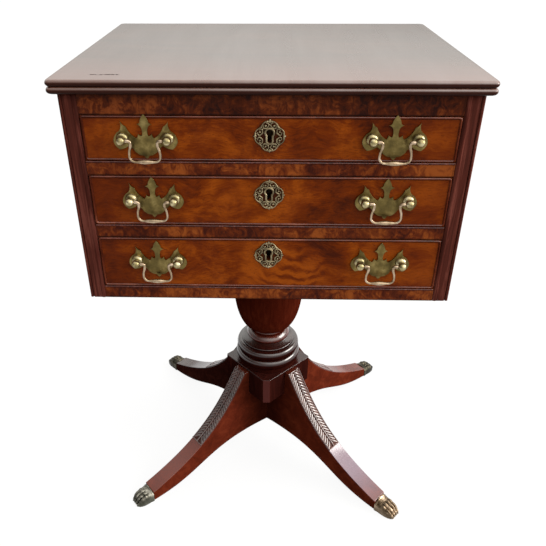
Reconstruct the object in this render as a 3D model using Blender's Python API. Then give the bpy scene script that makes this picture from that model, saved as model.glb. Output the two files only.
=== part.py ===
"""Work table: a case of three drawers on a turned column with four sabre legs.

Metres, +Z up. The origin is on the floor under the column, the drawers face -Y and +X is to the right.
"""
import math

import bmesh
import bpy

# Top
TABLE_HEIGHT = 0.740
TOP_WIDTH = 0.516
TOP_DEPTH = 0.409
TOP_THICKNESS = 0.017
TOP_OVERHANG = 0.010
TOP_CORNER_RADIUS = 0.006
REED_DEPTH = 0.0035

# Gaps
CLEARANCE = 0.0003
RUNNING_GAP = 0.001
CUT_PAST = 0.004

# Case
STILE_WIDTH = 0.022
STILE_DEPTH = 0.020
BEAD_RADIUS = 0.0022
QUIRK_WIDTH = 0.0010
SIDE_THICKNESS = 0.014
TONGUE_LENGTH = 0.006
TONGUE_THICKNESS = 0.005
TONGUE_INSET = 0.003
GUIDE_HEIGHT = 0.014
HOUSING_DEPTH = 0.004
BACK_THICKNESS = 0.010
BACK_REBATE = 0.006
TOP_RAIL_HEIGHT = 0.025
DIVIDER_HEIGHT = 0.018
BOTTOM_RAIL_HEIGHT = 0.019
RAIL_DEPTH = 0.020
DIVIDER_DEPTH = 0.040
TENON_LENGTH = 0.010
TENON_THICKNESS = 0.007
DUST_BOARD_THICKNESS = 0.008
BOTTOM_BOARD_THICKNESS = 0.012

# Drawers, from the top down
DRAWER_NAMES = ("upper", "middle", "lower")
FRONT_HEIGHTS = (0.0555, 0.0665, 0.0740)
HANDLE_INSETS = (0.0762, 0.0785, 0.0770)
HANDLE_RISES = (0.0015, 0.0040, 0.0050)
FRONT_THICKNESS = 0.018
COCKBEAD_WIDTH = 0.0028
COCKBEAD_PROJECTION = 0.0008
LINING_THICKNESS = 0.009
LINING_DROP = 0.006
DRAWER_BACK_THICKNESS = 0.008
DRAWER_BACK_DROP = 0.004
DRAWER_BOTTOM_THICKNESS = 0.005
DRAWER_BOTTOM_RISE = 0.006
DRAWER_BOTTOM_STOP = 0.002
GROOVE_DEPTH = 0.004
DOVETAIL_LAP = 0.005
TAILS_PER_CORNER = 2
TAIL_SHARE = 0.50
TAIL_SLOPE = 6.0

# Locks and escutcheons
LOCK_WIDTH = 0.050
LOCK_HEIGHT = 0.038
LOCK_THICKNESS = 0.008
BOLT_WIDTH = 0.012
BOLT_THICKNESS = 0.004
BOLT_LENGTH = 0.013
BOLT_SINK = 0.001
STRIKE_DEPTH = 0.007
STRIKE_MARGIN = 0.001
KEYHOLE_DROP = 0.0235
KEYHOLE_RADIUS = 0.0038
KEYHOLE_SLOT = 0.0046
KEYHOLE_HEIGHT = 0.016
KEYWAY_DEPTH = 0.004
ESCUTCHEON_WIDTH = 0.037
ESCUTCHEON_HEIGHT = 0.039
ESCUTCHEON_THICKNESS = 0.0018
ESCUTCHEON_RIM = 0.0032
ESCUTCHEON_FRAME = 0.0030
ESCUTCHEON_RIBS = 8
ESCUTCHEON_RIB_WIDTH = 0.0026
ESCUTCHEON_LOBE = 0.0008

# Handles
POST_SPACING = 0.055
PLATE_THICKNESS = 0.0015
PLATE_BOSS_RADIUS = 0.0055
DOME_RADIUS = 0.0076
DOME_HEIGHT = 0.0052
POST_NECK_RADIUS = 0.0036
POST_BALL_RADIUS = 0.0055
PIVOT_REACH = 0.0145
SHANK_RADIUS = 0.0025
BAIL_PIN_RADIUS = 0.0015
BAIL_PIN_DEPTH = 0.0030
BAIL_KNUCKLE_RADIUS = 0.0023
BAIL_ARM_RADIUS = 0.0015
BAIL_GRIP_RADIUS = 0.0027
BAIL_SHOULDER_HALF_WIDTH = 0.0160
BAIL_GRIP_HALF_WIDTH = 0.0200
BAIL_DROP = 0.0248
BAIL_CORNER_RADIUS = 0.0065

# Half of the fretted back plate, from the top of its finial round to the drop below it:
# each point's distance from the plate's middle and height above the posts, how far the line
# that leads to it bows out (or in, below zero), and in how many steps
PLATE_FINIAL_TIP = (0.0000, 0.0275)
PLATE_HALF_OUTLINE = (
    (0.0088, 0.0178, -0.0008, 2),
    (0.0022, 0.0064, -0.0013, 3),
    (0.0100, 0.0052, -0.0036, 3),
    (0.0146, 0.0002, -0.0010, 2),
    (0.0184, 0.0158, -0.0028, 3),
    (0.0296, 0.0222, -0.0030, 2),
    (0.0322, 0.0092, -0.0016, 2),
    (0.0346, -0.0132, 0.0066, 5),
    (0.0226, -0.0116, 0.0012, 2),
    (0.0174, -0.0184, 0.0000, 1),
    (0.0030, -0.0234, 0.0014, 3),
    (0.0000, -0.0256, 0.0000, 1),
)

# Column, its members from the base block up; the urn takes the height that the others leave
BLOCK_HALF_DIAGONAL = 0.0785
BLOCK_TOP = 0.186
BLOCK_HEIGHT = 0.053
BLOCK_CHAMFER = 0.002
DRUM_RADIUS = 0.0525
DRUM_HEIGHT = 0.014
LOWER_TORUS_BULGE = 0.0055
LOWER_TORUS_HEIGHT = 0.0165
UPPER_TORUS_RADIUS = 0.0560
UPPER_TORUS_BULGE = 0.0055
UPPER_TORUS_HEIGHT = 0.0145
FILLET_RADIUS = 0.0474
FILLET_HEIGHT = 0.0035
COVE_HEIGHT = 0.0074
CUSHION_RADIUS = 0.0385
CUSHION_BULGE = 0.0040
CUSHION_HEIGHT = 0.0116
NECK_RADIUS = 0.0280
NECK_RING_BULGE = 0.0032
NECK_RING_HEIGHT = 0.0060
URN_RADIUS = 0.0602
URN_BOWL_SHARE = 0.76
URN_BOWL_POWER = 1.0
COLUMN_NECK_HEIGHT = 0.0180
COLUMN_FLARE_HEIGHT = 0.0246
CAP_RADIUS = 0.0480
CAP_THICKNESS = 0.0090
COLUMN_TENON_RADIUS = 0.0170
COLUMN_TOP_TENON = 0.0160
COLUMN_FOOT_TENON = 0.0400
COLUMN_SIDES = 28
BEARER_WIDTH = 0.260
BEARER_DEPTH = 0.200
BEARER_THICKNESS = 0.020
BEARER_CHAMFER = 0.006

# Legs and toe caps, in the upright plane of each leg: distance from the column and height
BASE_TURN = math.radians(-1.5)
LEG_ANGLE = math.radians(41.2)
LEG_ROOT_THICKNESS = 0.028
LEG_TOE_THICKNESS = 0.029
LEG_TOP_DROP = 0.002
LEG_HIP = 0.064
LEG_HIP_HANDLE = 0.080
LEG_HIP_SLOPE = math.radians(58.0)
LEG_TOE_HANDLE = 0.130
LEG_TOE_SLOPE = math.radians(17.0)
LEG_ARCH = 0.0425
LEG_ARCH_HANDLE = 0.150
LEG_ARCH_SLOPE = math.radians(6.0)
LEG_HEEL_HANDLE = 0.110
LEG_HEEL_SLOPE = math.radians(0.5)
LEG_FLOOR_GAP = 0.0008
LEG_CURVE_STEPS = 14
LEG_KEY_DEPTH = 0.012
LEG_KEY_NECK = 0.011
LEG_KEY_WIDTH = 0.016
LEG_KEY_STOP = 0.012
TOE_REACH = 0.308
CAP_LENGTH = 0.037
CUFF_MARGIN = 0.0009
LEG_END_HEIGHT = 0.0205
STUB_LENGTH = 0.016
STUB_MARGIN = 0.0035
PAW_TOES = 4
PAW_TOE_RELIEF = 0.0020
PAW_TOE_REACH = 0.0026
PAW_CROWN_FALL = 0.35

# Worked out from the sizes above
CASE_WIDTH = TOP_WIDTH - 2 * TOP_OVERHANG
CASE_DEPTH = TOP_DEPTH - 2 * TOP_OVERHANG
CASE_TOP = TABLE_HEIGHT - TOP_THICKNESS
CASE_FRONT = -CASE_DEPTH / 2
CASE_BACK = CASE_DEPTH / 2
OPENING_WIDTH = CASE_WIDTH - 2 * STILE_WIDTH
DRAWER_WIDTH = OPENING_WIDTH - 2 * RUNNING_GAP
PANEL_INSIDE = CASE_WIDTH / 2 - SIDE_THICKNESS
HOUSING_INSIDE = PANEL_INSIDE + HOUSING_DEPTH
DRAWER_LENGTH = CASE_DEPTH - BACK_THICKNESS - RUNNING_GAP

# The height of each rail's top, from the top rail down, and of each drawer front's lower edge
RAIL_HEIGHTS = (TOP_RAIL_HEIGHT, DIVIDER_HEIGHT, DIVIDER_HEIGHT, BOTTOM_RAIL_HEIGHT)
RAIL_TOPS = [CASE_TOP]
FRONT_BOTTOMS = []
for rail_height, front_height in zip(RAIL_HEIGHTS, FRONT_HEIGHTS):
    FRONT_BOTTOMS.append(RAIL_TOPS[-1] - rail_height - RUNNING_GAP - front_height)
    RAIL_TOPS.append(FRONT_BOTTOMS[-1] - RUNNING_GAP)
CASE_BOTTOM = RAIL_TOPS[-1] - BOTTOM_RAIL_HEIGHT
BEARER_TOP = RAIL_TOPS[-1] - BOTTOM_BOARD_THICKNESS - CLEARANCE
BEARER_BOTTOM = BEARER_TOP - BEARER_THICKNESS
BLOCK_BOTTOM = BLOCK_TOP - BLOCK_HEIGHT
COLUMN_BOTTOM = BLOCK_TOP + CLEARANCE
COLUMN_TOP = BEARER_BOTTOM - CLEARANCE
BELOW_URN = DRUM_HEIGHT + LOWER_TORUS_HEIGHT + UPPER_TORUS_HEIGHT + FILLET_HEIGHT + COVE_HEIGHT + CUSHION_HEIGHT
ABOVE_URN = COLUMN_NECK_HEIGHT + COLUMN_FLARE_HEIGHT + CAP_THICKNESS
URN_HEIGHT = COLUMN_TOP - COLUMN_BOTTOM - BELOW_URN - ABOVE_URN - 2 * NECK_RING_HEIGHT
URN_BOWL_HEIGHT = URN_HEIGHT * URN_BOWL_SHARE
URN_SHOULDER_HEIGHT = URN_HEIGHT - URN_BOWL_HEIGHT
BLOCK_HALF_WIDTH = BLOCK_HALF_DIAGONAL / math.sqrt(2)
LEG_END = TOE_REACH - CAP_LENGTH
LEG_TOP = BLOCK_TOP - LEG_TOP_DROP


def clear_scene():
    """Remove whatever the file holds."""
    for item in list(bpy.data.objects):
        bpy.data.objects.remove(item, do_unlink=True)


def finish(name, colour, roughness, metallic=0.0):
    """A plain shader with one colour."""
    made = bpy.data.materials.new(name)
    made.use_nodes = True
    shader = made.node_tree.nodes["Principled BSDF"]
    shader.inputs["Base Color"].default_value = (*colour, 1.0)
    shader.inputs["Roughness"].default_value = roughness
    shader.inputs["Metallic"].default_value = metallic
    return made


def empty(name, location, parent=None):
    """A named frame that pieces hang from."""
    frame = bpy.data.objects.new(name, None)
    bpy.context.collection.objects.link(frame)
    frame.location = location
    frame.parent = parent
    return frame


def solids(*ring_lists):
    """Closed bodies, each lofted through its own rings of points and capped at both ends."""
    shape = bmesh.new()
    for rings in ring_lists:
        loops = [[shape.verts.new(point) for point in ring] for ring in rings]
        for low, high in zip(loops, loops[1:]):
            for i in range(len(low)):
                j = (i + 1) % len(low)
                shape.faces.new((low[i], low[j], high[j], high[i]))
        shape.faces.new(loops[0])
        shape.faces.new(loops[-1])
    bmesh.ops.recalc_face_normals(shape, faces=shape.faces)
    return shape


def place(name, shape, material=None, parent=None, location=(0, 0, 0), turn=0.0, smooth=False):
    """Put a modelled shape into the scene as a named object."""
    mesh = bpy.data.meshes.new(name)
    shape.to_mesh(mesh)
    shape.free()
    piece = bpy.data.objects.new(name, mesh)
    bpy.context.collection.objects.link(piece)
    piece.location = location
    piece.rotation_euler.z = turn
    piece.parent = parent
    if material:
        mesh.materials.append(material)
    if smooth:
        mesh.shade_smooth()
        mesh.set_sharp_from_angle(angle=math.radians(35))
    return piece


def cutter(name, shape, parent=None, location=(0, 0, 0), turn=0.0):
    """A shape that is only used to cut or join others."""
    tool = place(name, shape, None, parent, location, turn)
    tool.hide_render = True
    tool.display_type = "WIRE"
    return tool


def combine(piece, tool, operation="DIFFERENCE"):
    """Cut a tool out of a piece, or join it on."""
    step = piece.modifiers.new(tool.name, "BOOLEAN")
    step.operation = operation
    step.object = tool
    step.solver = "EXACT"


def box_rings(low, high):
    """Rings of an upright box between two corners."""
    return [
        [(low[0], low[1], z), (high[0], low[1], z), (high[0], high[1], z), (low[0], high[1], z)]
        for z in (low[2], high[2])
    ]


def box(low, high):
    """An upright box between two corners."""
    return solids(box_rings(low, high))


def grown(low, high, margin):
    """Corners of a box made larger by a margin on every side."""
    return tuple(v - margin for v in low), tuple(v + margin for v in high)


def prism_rings(outline, axis, start, end):
    """Rings of an outline drawn along X, Y or Z. Its points keep the order of the other two axes."""
    orders = {
        "X": lambda a, b, c: (c, a, b),
        "Y": lambda a, b, c: (a, c, b),
        "Z": lambda a, b, c: (a, b, c),
    }
    return [[orders[axis](a, b, c) for a, b in outline] for c in (start, end)]


def prism(outline, axis, start, end):
    """An outline drawn along X, Y or Z."""
    return solids(prism_rings(outline, axis, start, end))


def circle(radius, sides, centre=(0.0, 0.0)):
    """Points round a circle."""
    steps = [2 * math.pi * i / sides for i in range(sides)]
    return [(centre[0] + radius * math.cos(a), centre[1] + radius * math.sin(a)) for a in steps]


def arc(centre, radius, start, end, steps):
    """Points along an arc, angles in degrees."""
    angles = [math.radians(start + (end - start) * i / steps) for i in range(steps + 1)]
    return [(centre[0] + radius * math.cos(a), centre[1] + radius * math.sin(a)) for a in angles]


def bezier(start, first, second, end, steps):
    """Points along a cubic curve."""
    points = []
    for i in range(steps + 1):
        t = i / steps
        weights = ((1 - t) ** 3, 3 * t * (1 - t) ** 2, 3 * t * t * (1 - t), t ** 3)
        points.append(tuple(sum(w * p[k] for w, p in zip(weights, (start, first, second, end))) for k in (0, 1)))
    return points


def rounded_rectangle(half_width, half_depth, radius, steps=3):
    """Outline of a rectangle with round corners."""
    x, y = half_width - radius, half_depth - radius
    corners = (((x, y), 0), ((-x, y), 90), ((-x, -y), 180), ((x, -y), 270))
    return [p for centre, start in corners for p in arc(centre, radius, start, start + 90, steps)]


def mirrored(outline, side):
    """An outline drawn for the right side, flipped when it is for the left."""
    return [(side * a, b) for a, b in outline]


def bead(radius, bulge, low, high, steps=6):
    """A half-round moulding on a turned profile, from low to high."""
    middle, half = (low + high) / 2, (high - low) / 2
    angles = [math.pi * (i / steps - 0.5) for i in range(steps + 1)]
    return [(radius + bulge * math.cos(a), middle + half * math.sin(a)) for a in angles]


def turned(profile, sides):
    """A solid turned about Z from a profile of radius and height."""
    return solids([[(x, y, height) for x, y in circle(radius, sides)] for radius, height in profile])


def build_top(wood):
    """Top board with two reeds worked round its edge."""
    reed = (TOP_THICKNESS - CLEARANCE) / 2
    rings = []
    for start in (CASE_TOP + CLEARANCE, CASE_TOP + CLEARANCE + reed):
        for inset, z in bead(0.0, 1.0, start, start + reed):
            depth = REED_DEPTH * (1 - inset)
            outline = rounded_rectangle(TOP_WIDTH / 2 - depth, TOP_DEPTH / 2 - depth, TOP_CORNER_RADIUS)
            rings.append([(x, y, z) for x, y in outline])
    place("top_panel", solids(rings), wood, smooth=True)


def stile_outline(side):
    """Plan of a front stile: quirked bead on the outer corner, groove behind for the side panel."""
    outer, inner = CASE_WIDTH / 2, OPENING_WIDTH / 2
    back = CASE_FRONT + STILE_DEPTH
    groove = TONGUE_THICKNESS / 2 + CLEARANCE
    middle = outer - SIDE_THICKNESS / 2
    root = back - TONGUE_LENGTH - 2 * CLEARANCE
    centre = (outer - BEAD_RADIUS, CASE_FRONT + BEAD_RADIUS)
    quirk = outer - 2 * BEAD_RADIUS
    points = [(inner, back), (inner, CASE_FRONT), (quirk - QUIRK_WIDTH, CASE_FRONT)]
    points += [(quirk - QUIRK_WIDTH / 2, CASE_FRONT + BEAD_RADIUS)]
    points += arc(centre, BEAD_RADIUS, 180, 360, 6)
    points += [(outer, back), (middle + groove, back), (middle + groove, root)]
    points += [(middle - groove, root), (middle - groove, back)]
    return mirrored(points, side)


def panel_outline(side):
    """Section of a side panel: housings for the boards inside, and a drawer guide above each."""
    outer, guide = CASE_WIDTH / 2, OPENING_WIDTH / 2
    thicknesses = (DUST_BOARD_THICKNESS, DUST_BOARD_THICKNESS, BOTTOM_BOARD_THICKNESS)
    points = [(outer, CASE_TOP), (outer, CASE_BOTTOM), (PANEL_INSIDE, CASE_BOTTOM)]
    for top, thickness in reversed(list(zip(RAIL_TOPS[1:], thicknesses))):
        low, high = top - thickness - CLEARANCE, top + CLEARANCE
        points += [(PANEL_INSIDE, low), (HOUSING_INSIDE + CLEARANCE, low), (HOUSING_INSIDE + CLEARANCE, high)]
        points += [(guide, high), (guide, high + GUIDE_HEIGHT), (PANEL_INSIDE, high + GUIDE_HEIGHT)]
    points += [(PANEL_INSIDE, CASE_TOP)]
    return mirrored(points, side)


def back_corners():
    """Lowest and highest corner of the back panel."""
    half = PANEL_INSIDE + BACK_REBATE
    return (-half, CASE_BACK - BACK_THICKNESS, CASE_BOTTOM), (half, CASE_BACK, CASE_TOP)


def build_sides(wood):
    """Side panels, tongued into the front stiles and rebated for the back."""
    rebate_low, rebate_high = grown(*back_corners(), CLEARANCE)
    rebate_low = (rebate_low[0], rebate_low[1], rebate_low[2] - CUT_PAST)
    rebate_high = (rebate_high[0], rebate_high[1] + CUT_PAST, rebate_high[2] + CUT_PAST)
    rebate = cutter("back_rebate", box(rebate_low, rebate_high))
    start = CASE_FRONT + STILE_DEPTH + CLEARANCE
    middle = CASE_WIDTH / 2 - SIDE_THICKNESS / 2
    for name, side in (("left", -1), ("right", 1)):
        panel = place(f"{name}_side_panel", prism(panel_outline(side), "Y", start, CASE_BACK), wood)
        xs = sorted(side * (middle + way * TONGUE_THICKNESS / 2) for way in (-1, 1))
        low = (xs[0], start - TONGUE_LENGTH, CASE_BOTTOM + TONGUE_INSET)
        high = (xs[1], start + TONGUE_LENGTH, CASE_TOP - TONGUE_INSET)
        combine(panel, cutter(f"{name}_tongue", box(low, high)), "UNION")
        combine(panel, rebate)


def rail_outline(depth):
    """Plan of a rail with a tenon at each end."""
    end = OPENING_WIDTH / 2 - CLEARANCE
    tip = OPENING_WIDTH / 2 + TENON_LENGTH
    near = CASE_FRONT + (STILE_DEPTH - TENON_THICKNESS) / 2
    far = near + TENON_THICKNESS
    back = CASE_FRONT + depth
    return [
        (end, CASE_FRONT), (end, near), (tip, near), (tip, far), (end, far), (end, back),
        (-end, back), (-end, far), (-tip, far), (-tip, near), (-end, near), (-end, CASE_FRONT),
    ]


def build_front_frame(wood, figured):
    """Two stiles and the four rails tenoned between them."""
    names = ("top_rail", "upper_divider", "lower_divider", "bottom_rail")
    depths = (RAIL_DEPTH, DIVIDER_DEPTH, DIVIDER_DEPTH, RAIL_DEPTH)
    tenon_boxes = []
    near = CASE_FRONT + (STILE_DEPTH - TENON_THICKNESS) / 2
    tip = OPENING_WIDTH / 2 + TENON_LENGTH
    for name, depth, top, height in zip(names, depths, RAIL_TOPS, RAIL_HEIGHTS):
        low_z, high_z = top - height, top
        rail = place(name, prism(rail_outline(depth), "Z", low_z, high_z), figured)
        low, high = grown((-tip, near, low_z), (tip, near + TENON_THICKNESS, high_z), CLEARANCE)
        tenon_boxes.append(box_rings(low, high))
        if name != "bottom_rail":
            cut_strike(rail, low_z)
    mortises = cutter("stile_mortises", solids(*tenon_boxes))
    for name, side in (("front_left_stile", -1), ("front_right_stile", 1)):
        stile = place(name, prism(stile_outline(side), "Z", CASE_BOTTOM, CASE_TOP), wood, smooth=True)
        combine(stile, mortises)


def cut_strike(rail, low_z):
    """Pocket in a rail's underside that takes the bolt of the drawer below."""
    middle = CASE_FRONT + FRONT_THICKNESS - LOCK_THICKNESS / 2
    half_x, half_y = BOLT_WIDTH / 2 + STRIKE_MARGIN, BOLT_THICKNESS / 2 + STRIKE_MARGIN
    low = (-half_x, middle - half_y, low_z - CUT_PAST)
    high = (half_x, middle + half_y, low_z + STRIKE_DEPTH)
    combine(rail, cutter(f"{rail.name}_strike", box(low, high)))


def build_inner_boards(wood):
    """Back panel, bottom board and the dust boards between the drawers."""
    inner_back = CASE_BACK - BACK_THICKNESS
    place("back_panel", box(*back_corners()), wood)
    boards = (
        ("upper_dust_board", RAIL_TOPS[1], DUST_BOARD_THICKNESS, DIVIDER_DEPTH),
        ("lower_dust_board", RAIL_TOPS[2], DUST_BOARD_THICKNESS, DIVIDER_DEPTH),
        ("bottom_board", RAIL_TOPS[3], BOTTOM_BOARD_THICKNESS, RAIL_DEPTH),
    )
    stile_back = CASE_FRONT + STILE_DEPTH + CLEARANCE
    for name, top, thickness, rail_depth in boards:
        start = max(CASE_FRONT + rail_depth + CLEARANCE, stile_back)
        low = (-HOUSING_INSIDE, start, top - thickness)
        high = (HOUSING_INSIDE, inner_back - CLEARANCE, top)
        place(name, box(low, high), wood)


def tail_edges(low, high):
    """Lower and upper edge of each dovetail's root between two heights."""
    pitch = (high - low) / TAILS_PER_CORNER
    half = pitch * TAIL_SHARE / 2
    middles = [low + pitch * (i + 0.5) for i in range(TAILS_PER_CORNER)]
    return [(middle - half, middle + half) for middle in middles]


class DrawerSizes:
    """Places of one drawer's pieces, in a frame at the middle of its front's lower edge."""

    def __init__(self, height):
        self.height = height
        self.half = DRAWER_WIDTH / 2
        self.inside = self.half - LINING_THICKNESS
        self.side_low = CLEARANCE - RUNNING_GAP
        self.side_high = height - LINING_DROP
        self.bottom_low = DRAWER_BOTTOM_RISE
        self.bottom_high = DRAWER_BOTTOM_RISE + DRAWER_BOTTOM_THICKNESS
        self.back_low = self.bottom_high + CLEARANCE
        self.back_high = self.side_high - DRAWER_BACK_DROP
        self.front_root = FRONT_THICKNESS + CLEARANCE
        self.front_tip = DOVETAIL_LAP + CLEARANCE
        self.rear_root = DRAWER_LENGTH - DRAWER_BACK_THICKNESS - CLEARANCE
        self.front_tails = tail_edges(self.side_low, self.side_high)
        self.rear_tails = tail_edges(self.back_low, self.back_high)
        self.front_flare = (self.front_root - self.front_tip) / TAIL_SLOPE
        self.rear_flare = (DRAWER_LENGTH - self.rear_root) / TAIL_SLOPE
        self.lock_low = height - LOCK_HEIGHT
        self.lock_front = FRONT_THICKNESS - LOCK_THICKNESS
        self.keyhole = height - KEYHOLE_DROP

    def side_outline(self):
        """Long side of a drawer lining, with tails at both ends."""
        points = [(self.front_root, self.side_low), (DRAWER_LENGTH, self.side_low)]
        points += [(DRAWER_LENGTH, self.back_low - CLEARANCE), (self.rear_root, self.back_low - CLEARANCE)]
        for low, high in self.rear_tails:
            points += [(self.rear_root, low), (DRAWER_LENGTH, low - self.rear_flare)]
            points += [(DRAWER_LENGTH, high + self.rear_flare), (self.rear_root, high)]
        points += [(self.rear_root, self.back_high + CLEARANCE), (DRAWER_LENGTH, self.back_high + CLEARANCE)]
        points += [(DRAWER_LENGTH, self.side_high), (self.front_root, self.side_high)]
        for low, high in reversed(self.front_tails):
            points += [(self.front_root, high), (self.front_tip, high + self.front_flare)]
            points += [(self.front_tip, low - self.front_flare), (self.front_root, low)]
        return points

    def tail_sockets(self, tails, root, end):
        """Outlines of the sockets that a row of tails needs, open behind the tails' roots."""
        past = root + math.copysign(CUT_PAST, root - end)
        wide = abs(root - end) / TAIL_SLOPE + CLEARANCE
        narrow = CLEARANCE - CUT_PAST / TAIL_SLOPE
        sockets = []
        for low, high in tails:
            sockets.append([(past, low - narrow), (end, low - wide), (end, high + wide), (past, high + narrow)])
        return sockets


def build_drawer_front(name, size, frame, figured):
    """Drawer front with a raised cockbead round its edge."""
    steps = (
        (0.0, FRONT_THICKNESS), (0.0, 0.0), (0.25, -0.80), (0.50, -1.0), (0.75, -0.80), (1.0, -0.10), (1.0, 0.0),
    )
    rings = []
    for share, rise in steps:
        inset = share * COCKBEAD_WIDTH
        y = rise if rise >= 0 else rise * COCKBEAD_PROJECTION
        x, low, high = size.half - inset, inset, size.height - inset
        rings.append([(-x, y, low), (x, y, low), (x, y, high), (-x, y, high)])
    return place(f"{name}_front", solids(rings), figured, frame)


def build_drawer_box(name, size, frame, front, lining):
    """Sides, back and bottom of a drawer, let into each other and into the front."""
    bottom_low = (-size.inside - GROOVE_DEPTH, FRONT_THICKNESS - GROOVE_DEPTH, size.bottom_low)
    bottom_high = (size.inside + GROOVE_DEPTH, DRAWER_LENGTH - DRAWER_BOTTOM_STOP, size.bottom_high)
    place(f"{name}_bottom", box(bottom_low, bottom_high), lining, frame)
    low, high = grown(bottom_low, bottom_high, CLEARANCE)
    groove = cutter(f"{name}_groove", box(low, (high[0], DRAWER_LENGTH + CUT_PAST, high[2])), frame)
    combine(front, groove)

    back_low = (-size.half, DRAWER_LENGTH - DRAWER_BACK_THICKNESS, size.back_low)
    back = place(f"{name}_back", box(back_low, (size.half, DRAWER_LENGTH, size.back_high)), lining, frame)
    fronts = size.tail_sockets(size.front_tails, size.front_root, size.front_tip - CLEARANCE)
    rears = size.tail_sockets(size.rear_tails, size.rear_root, DRAWER_LENGTH + CUT_PAST)
    for hand, side in (("left", -1), ("right", 1)):
        inner, outer = side * size.inside, side * size.half
        lining_side = place(f"{name}_{hand}_side", prism(size.side_outline(), "X", inner, outer), lining, frame)
        combine(lining_side, groove)
        start, end = side * (size.inside - CLEARANCE), side * (size.half + CUT_PAST)
        for piece, sockets, place_name in ((front, fronts, "front"), (back, rears, "back")):
            shape = solids(*[prism_rings(outline, "X", start, end) for outline in sockets])
            combine(piece, cutter(f"{name}_{hand}_{place_name}_sockets", shape, frame))


def keyhole_outline():
    """Keyhole about its own middle: a round head over a slot."""
    radius, half_slot = KEYHOLE_RADIUS, KEYHOLE_SLOT / 2
    head = KEYHOLE_HEIGHT / 2 - KEYHOLE_RADIUS
    foot = -KEYHOLE_HEIGHT / 2 + KEYHOLE_SLOT / 2
    dip = math.degrees(math.acos(half_slot / radius))
    return arc((0.0, head), radius, -dip, 180 + dip, 8) + arc((0.0, foot), half_slot, 180, 360, 4)


def escutcheon_outline():
    """Lobed oval outline of an escutcheon."""
    points = []
    sides = ESCUTCHEON_RIBS * 4
    for i in range(sides):
        angle = 2 * math.pi * i / sides
        lobe = ESCUTCHEON_LOBE * (1 - math.cos(ESCUTCHEON_RIBS * angle)) / 2
        points.append((
            (ESCUTCHEON_WIDTH / 2 - lobe) * math.sin(angle),
            (ESCUTCHEON_HEIGHT / 2 - lobe) * math.cos(angle),
        ))
    return points


def escutcheon_piercings():
    """Rings of the openings between an escutcheon's rim, its keyhole frame and its ribs."""
    frame_x = KEYHOLE_RADIUS + ESCUTCHEON_FRAME
    frame_z = KEYHOLE_HEIGHT / 2 + ESCUTCHEON_FRAME
    rim_x, rim_z = ESCUTCHEON_WIDTH / 2 - ESCUTCHEON_RIM, ESCUTCHEON_HEIGHT / 2 - ESCUTCHEON_RIM
    start, end = -ESCUTCHEON_THICKNESS - CLEARANCE - CUT_PAST, CUT_PAST
    holes = []
    steps = 3
    for i in range(ESCUTCHEON_RIBS):
        first = 2 * math.pi * i / ESCUTCHEON_RIBS
        last = first + 2 * math.pi / ESCUTCHEON_RIBS
        outline = []
        for x, z, order in ((rim_x, rim_z, range(steps + 1)), (frame_x, frame_z, range(steps, -1, -1))):
            trim = ESCUTCHEON_RIB_WIDTH / (x + z)
            for k in order:
                angle = first + trim + (last - first - 2 * trim) * k / steps
                outline.append((x * math.sin(angle), z * math.cos(angle)))
        holes.append(prism_rings(outline, "Y", start, end))
    return holes


def build_lock(name, size, frame, front, brass, bronze):
    """Lock let into the back of the front, its bolt, and the pierced escutcheon over the keyhole."""
    half = LOCK_WIDTH / 2
    low, high = (-half, size.lock_front, size.lock_low), (half, FRONT_THICKNESS, size.height)
    lock = place(f"{name}_lock", box(low, high), brass, frame)
    seat_low = (low[0] - CLEARANCE, low[1] - CLEARANCE, low[2] - CLEARANCE)
    seat_high = (high[0] + CLEARANCE, high[1] + CUT_PAST, high[2] + CUT_PAST)
    combine(front, cutter(f"{name}_lock_seat", box(seat_low, seat_high), frame))

    middle = (size.lock_front + FRONT_THICKNESS) / 2
    bolt_foot = (0.0, middle, size.height - BOLT_SINK - BOLT_LENGTH)
    bolt_low = (-BOLT_WIDTH / 2, -BOLT_THICKNESS / 2, 0.0)
    bolt_high = (BOLT_WIDTH / 2, BOLT_THICKNESS / 2, BOLT_LENGTH)
    place(f"{name}_bolt", box(bolt_low, bolt_high), brass, frame, bolt_foot)
    slot_low, slot_high = grown(bolt_low, bolt_high, CLEARANCE)
    slot = box(slot_low, (slot_high[0], slot_high[1], BOLT_LENGTH + CUT_PAST))
    combine(lock, cutter(f"{name}_bolt_slot", slot, frame, bolt_foot))

    seat = (0.0, -CLEARANCE, size.keyhole)
    plate = prism(escutcheon_outline(), "Y", -ESCUTCHEON_THICKNESS, 0.0)
    escutcheon = place(f"{name}_escutcheon", plate, bronze, frame, seat)
    piercings = cutter(f"{name}_piercings", solids(*escutcheon_piercings()), frame, seat)
    combine(escutcheon, piercings)
    front_end = -ESCUTCHEON_THICKNESS - CUT_PAST
    keyway = prism(keyhole_outline(), "Y", front_end, size.lock_front + KEYWAY_DEPTH)
    keyhole = cutter(f"{name}_keyhole", keyway, frame, (0.0, 0.0, size.keyhole))
    for piece in (escutcheon, front, lock):
        combine(piece, keyhole)


def plate_outline():
    """Whole outline of a handle's back plate."""
    right = [PLATE_FINIAL_TIP]
    for x, z, bow, steps in PLATE_HALF_OUTLINE:
        from_x, from_z = right[-1]
        run, rise = x - from_x, z - from_z
        length = math.hypot(run, rise)
        for i in range(1, steps + 1):
            t = i / steps
            out = 4 * bow * t * (1 - t) / length
            right.append((from_x + t * run - out * rise, from_z + t * rise + out * run))
    return right + [(-x, z) for x, z in reversed(right[1:-1])]


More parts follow.
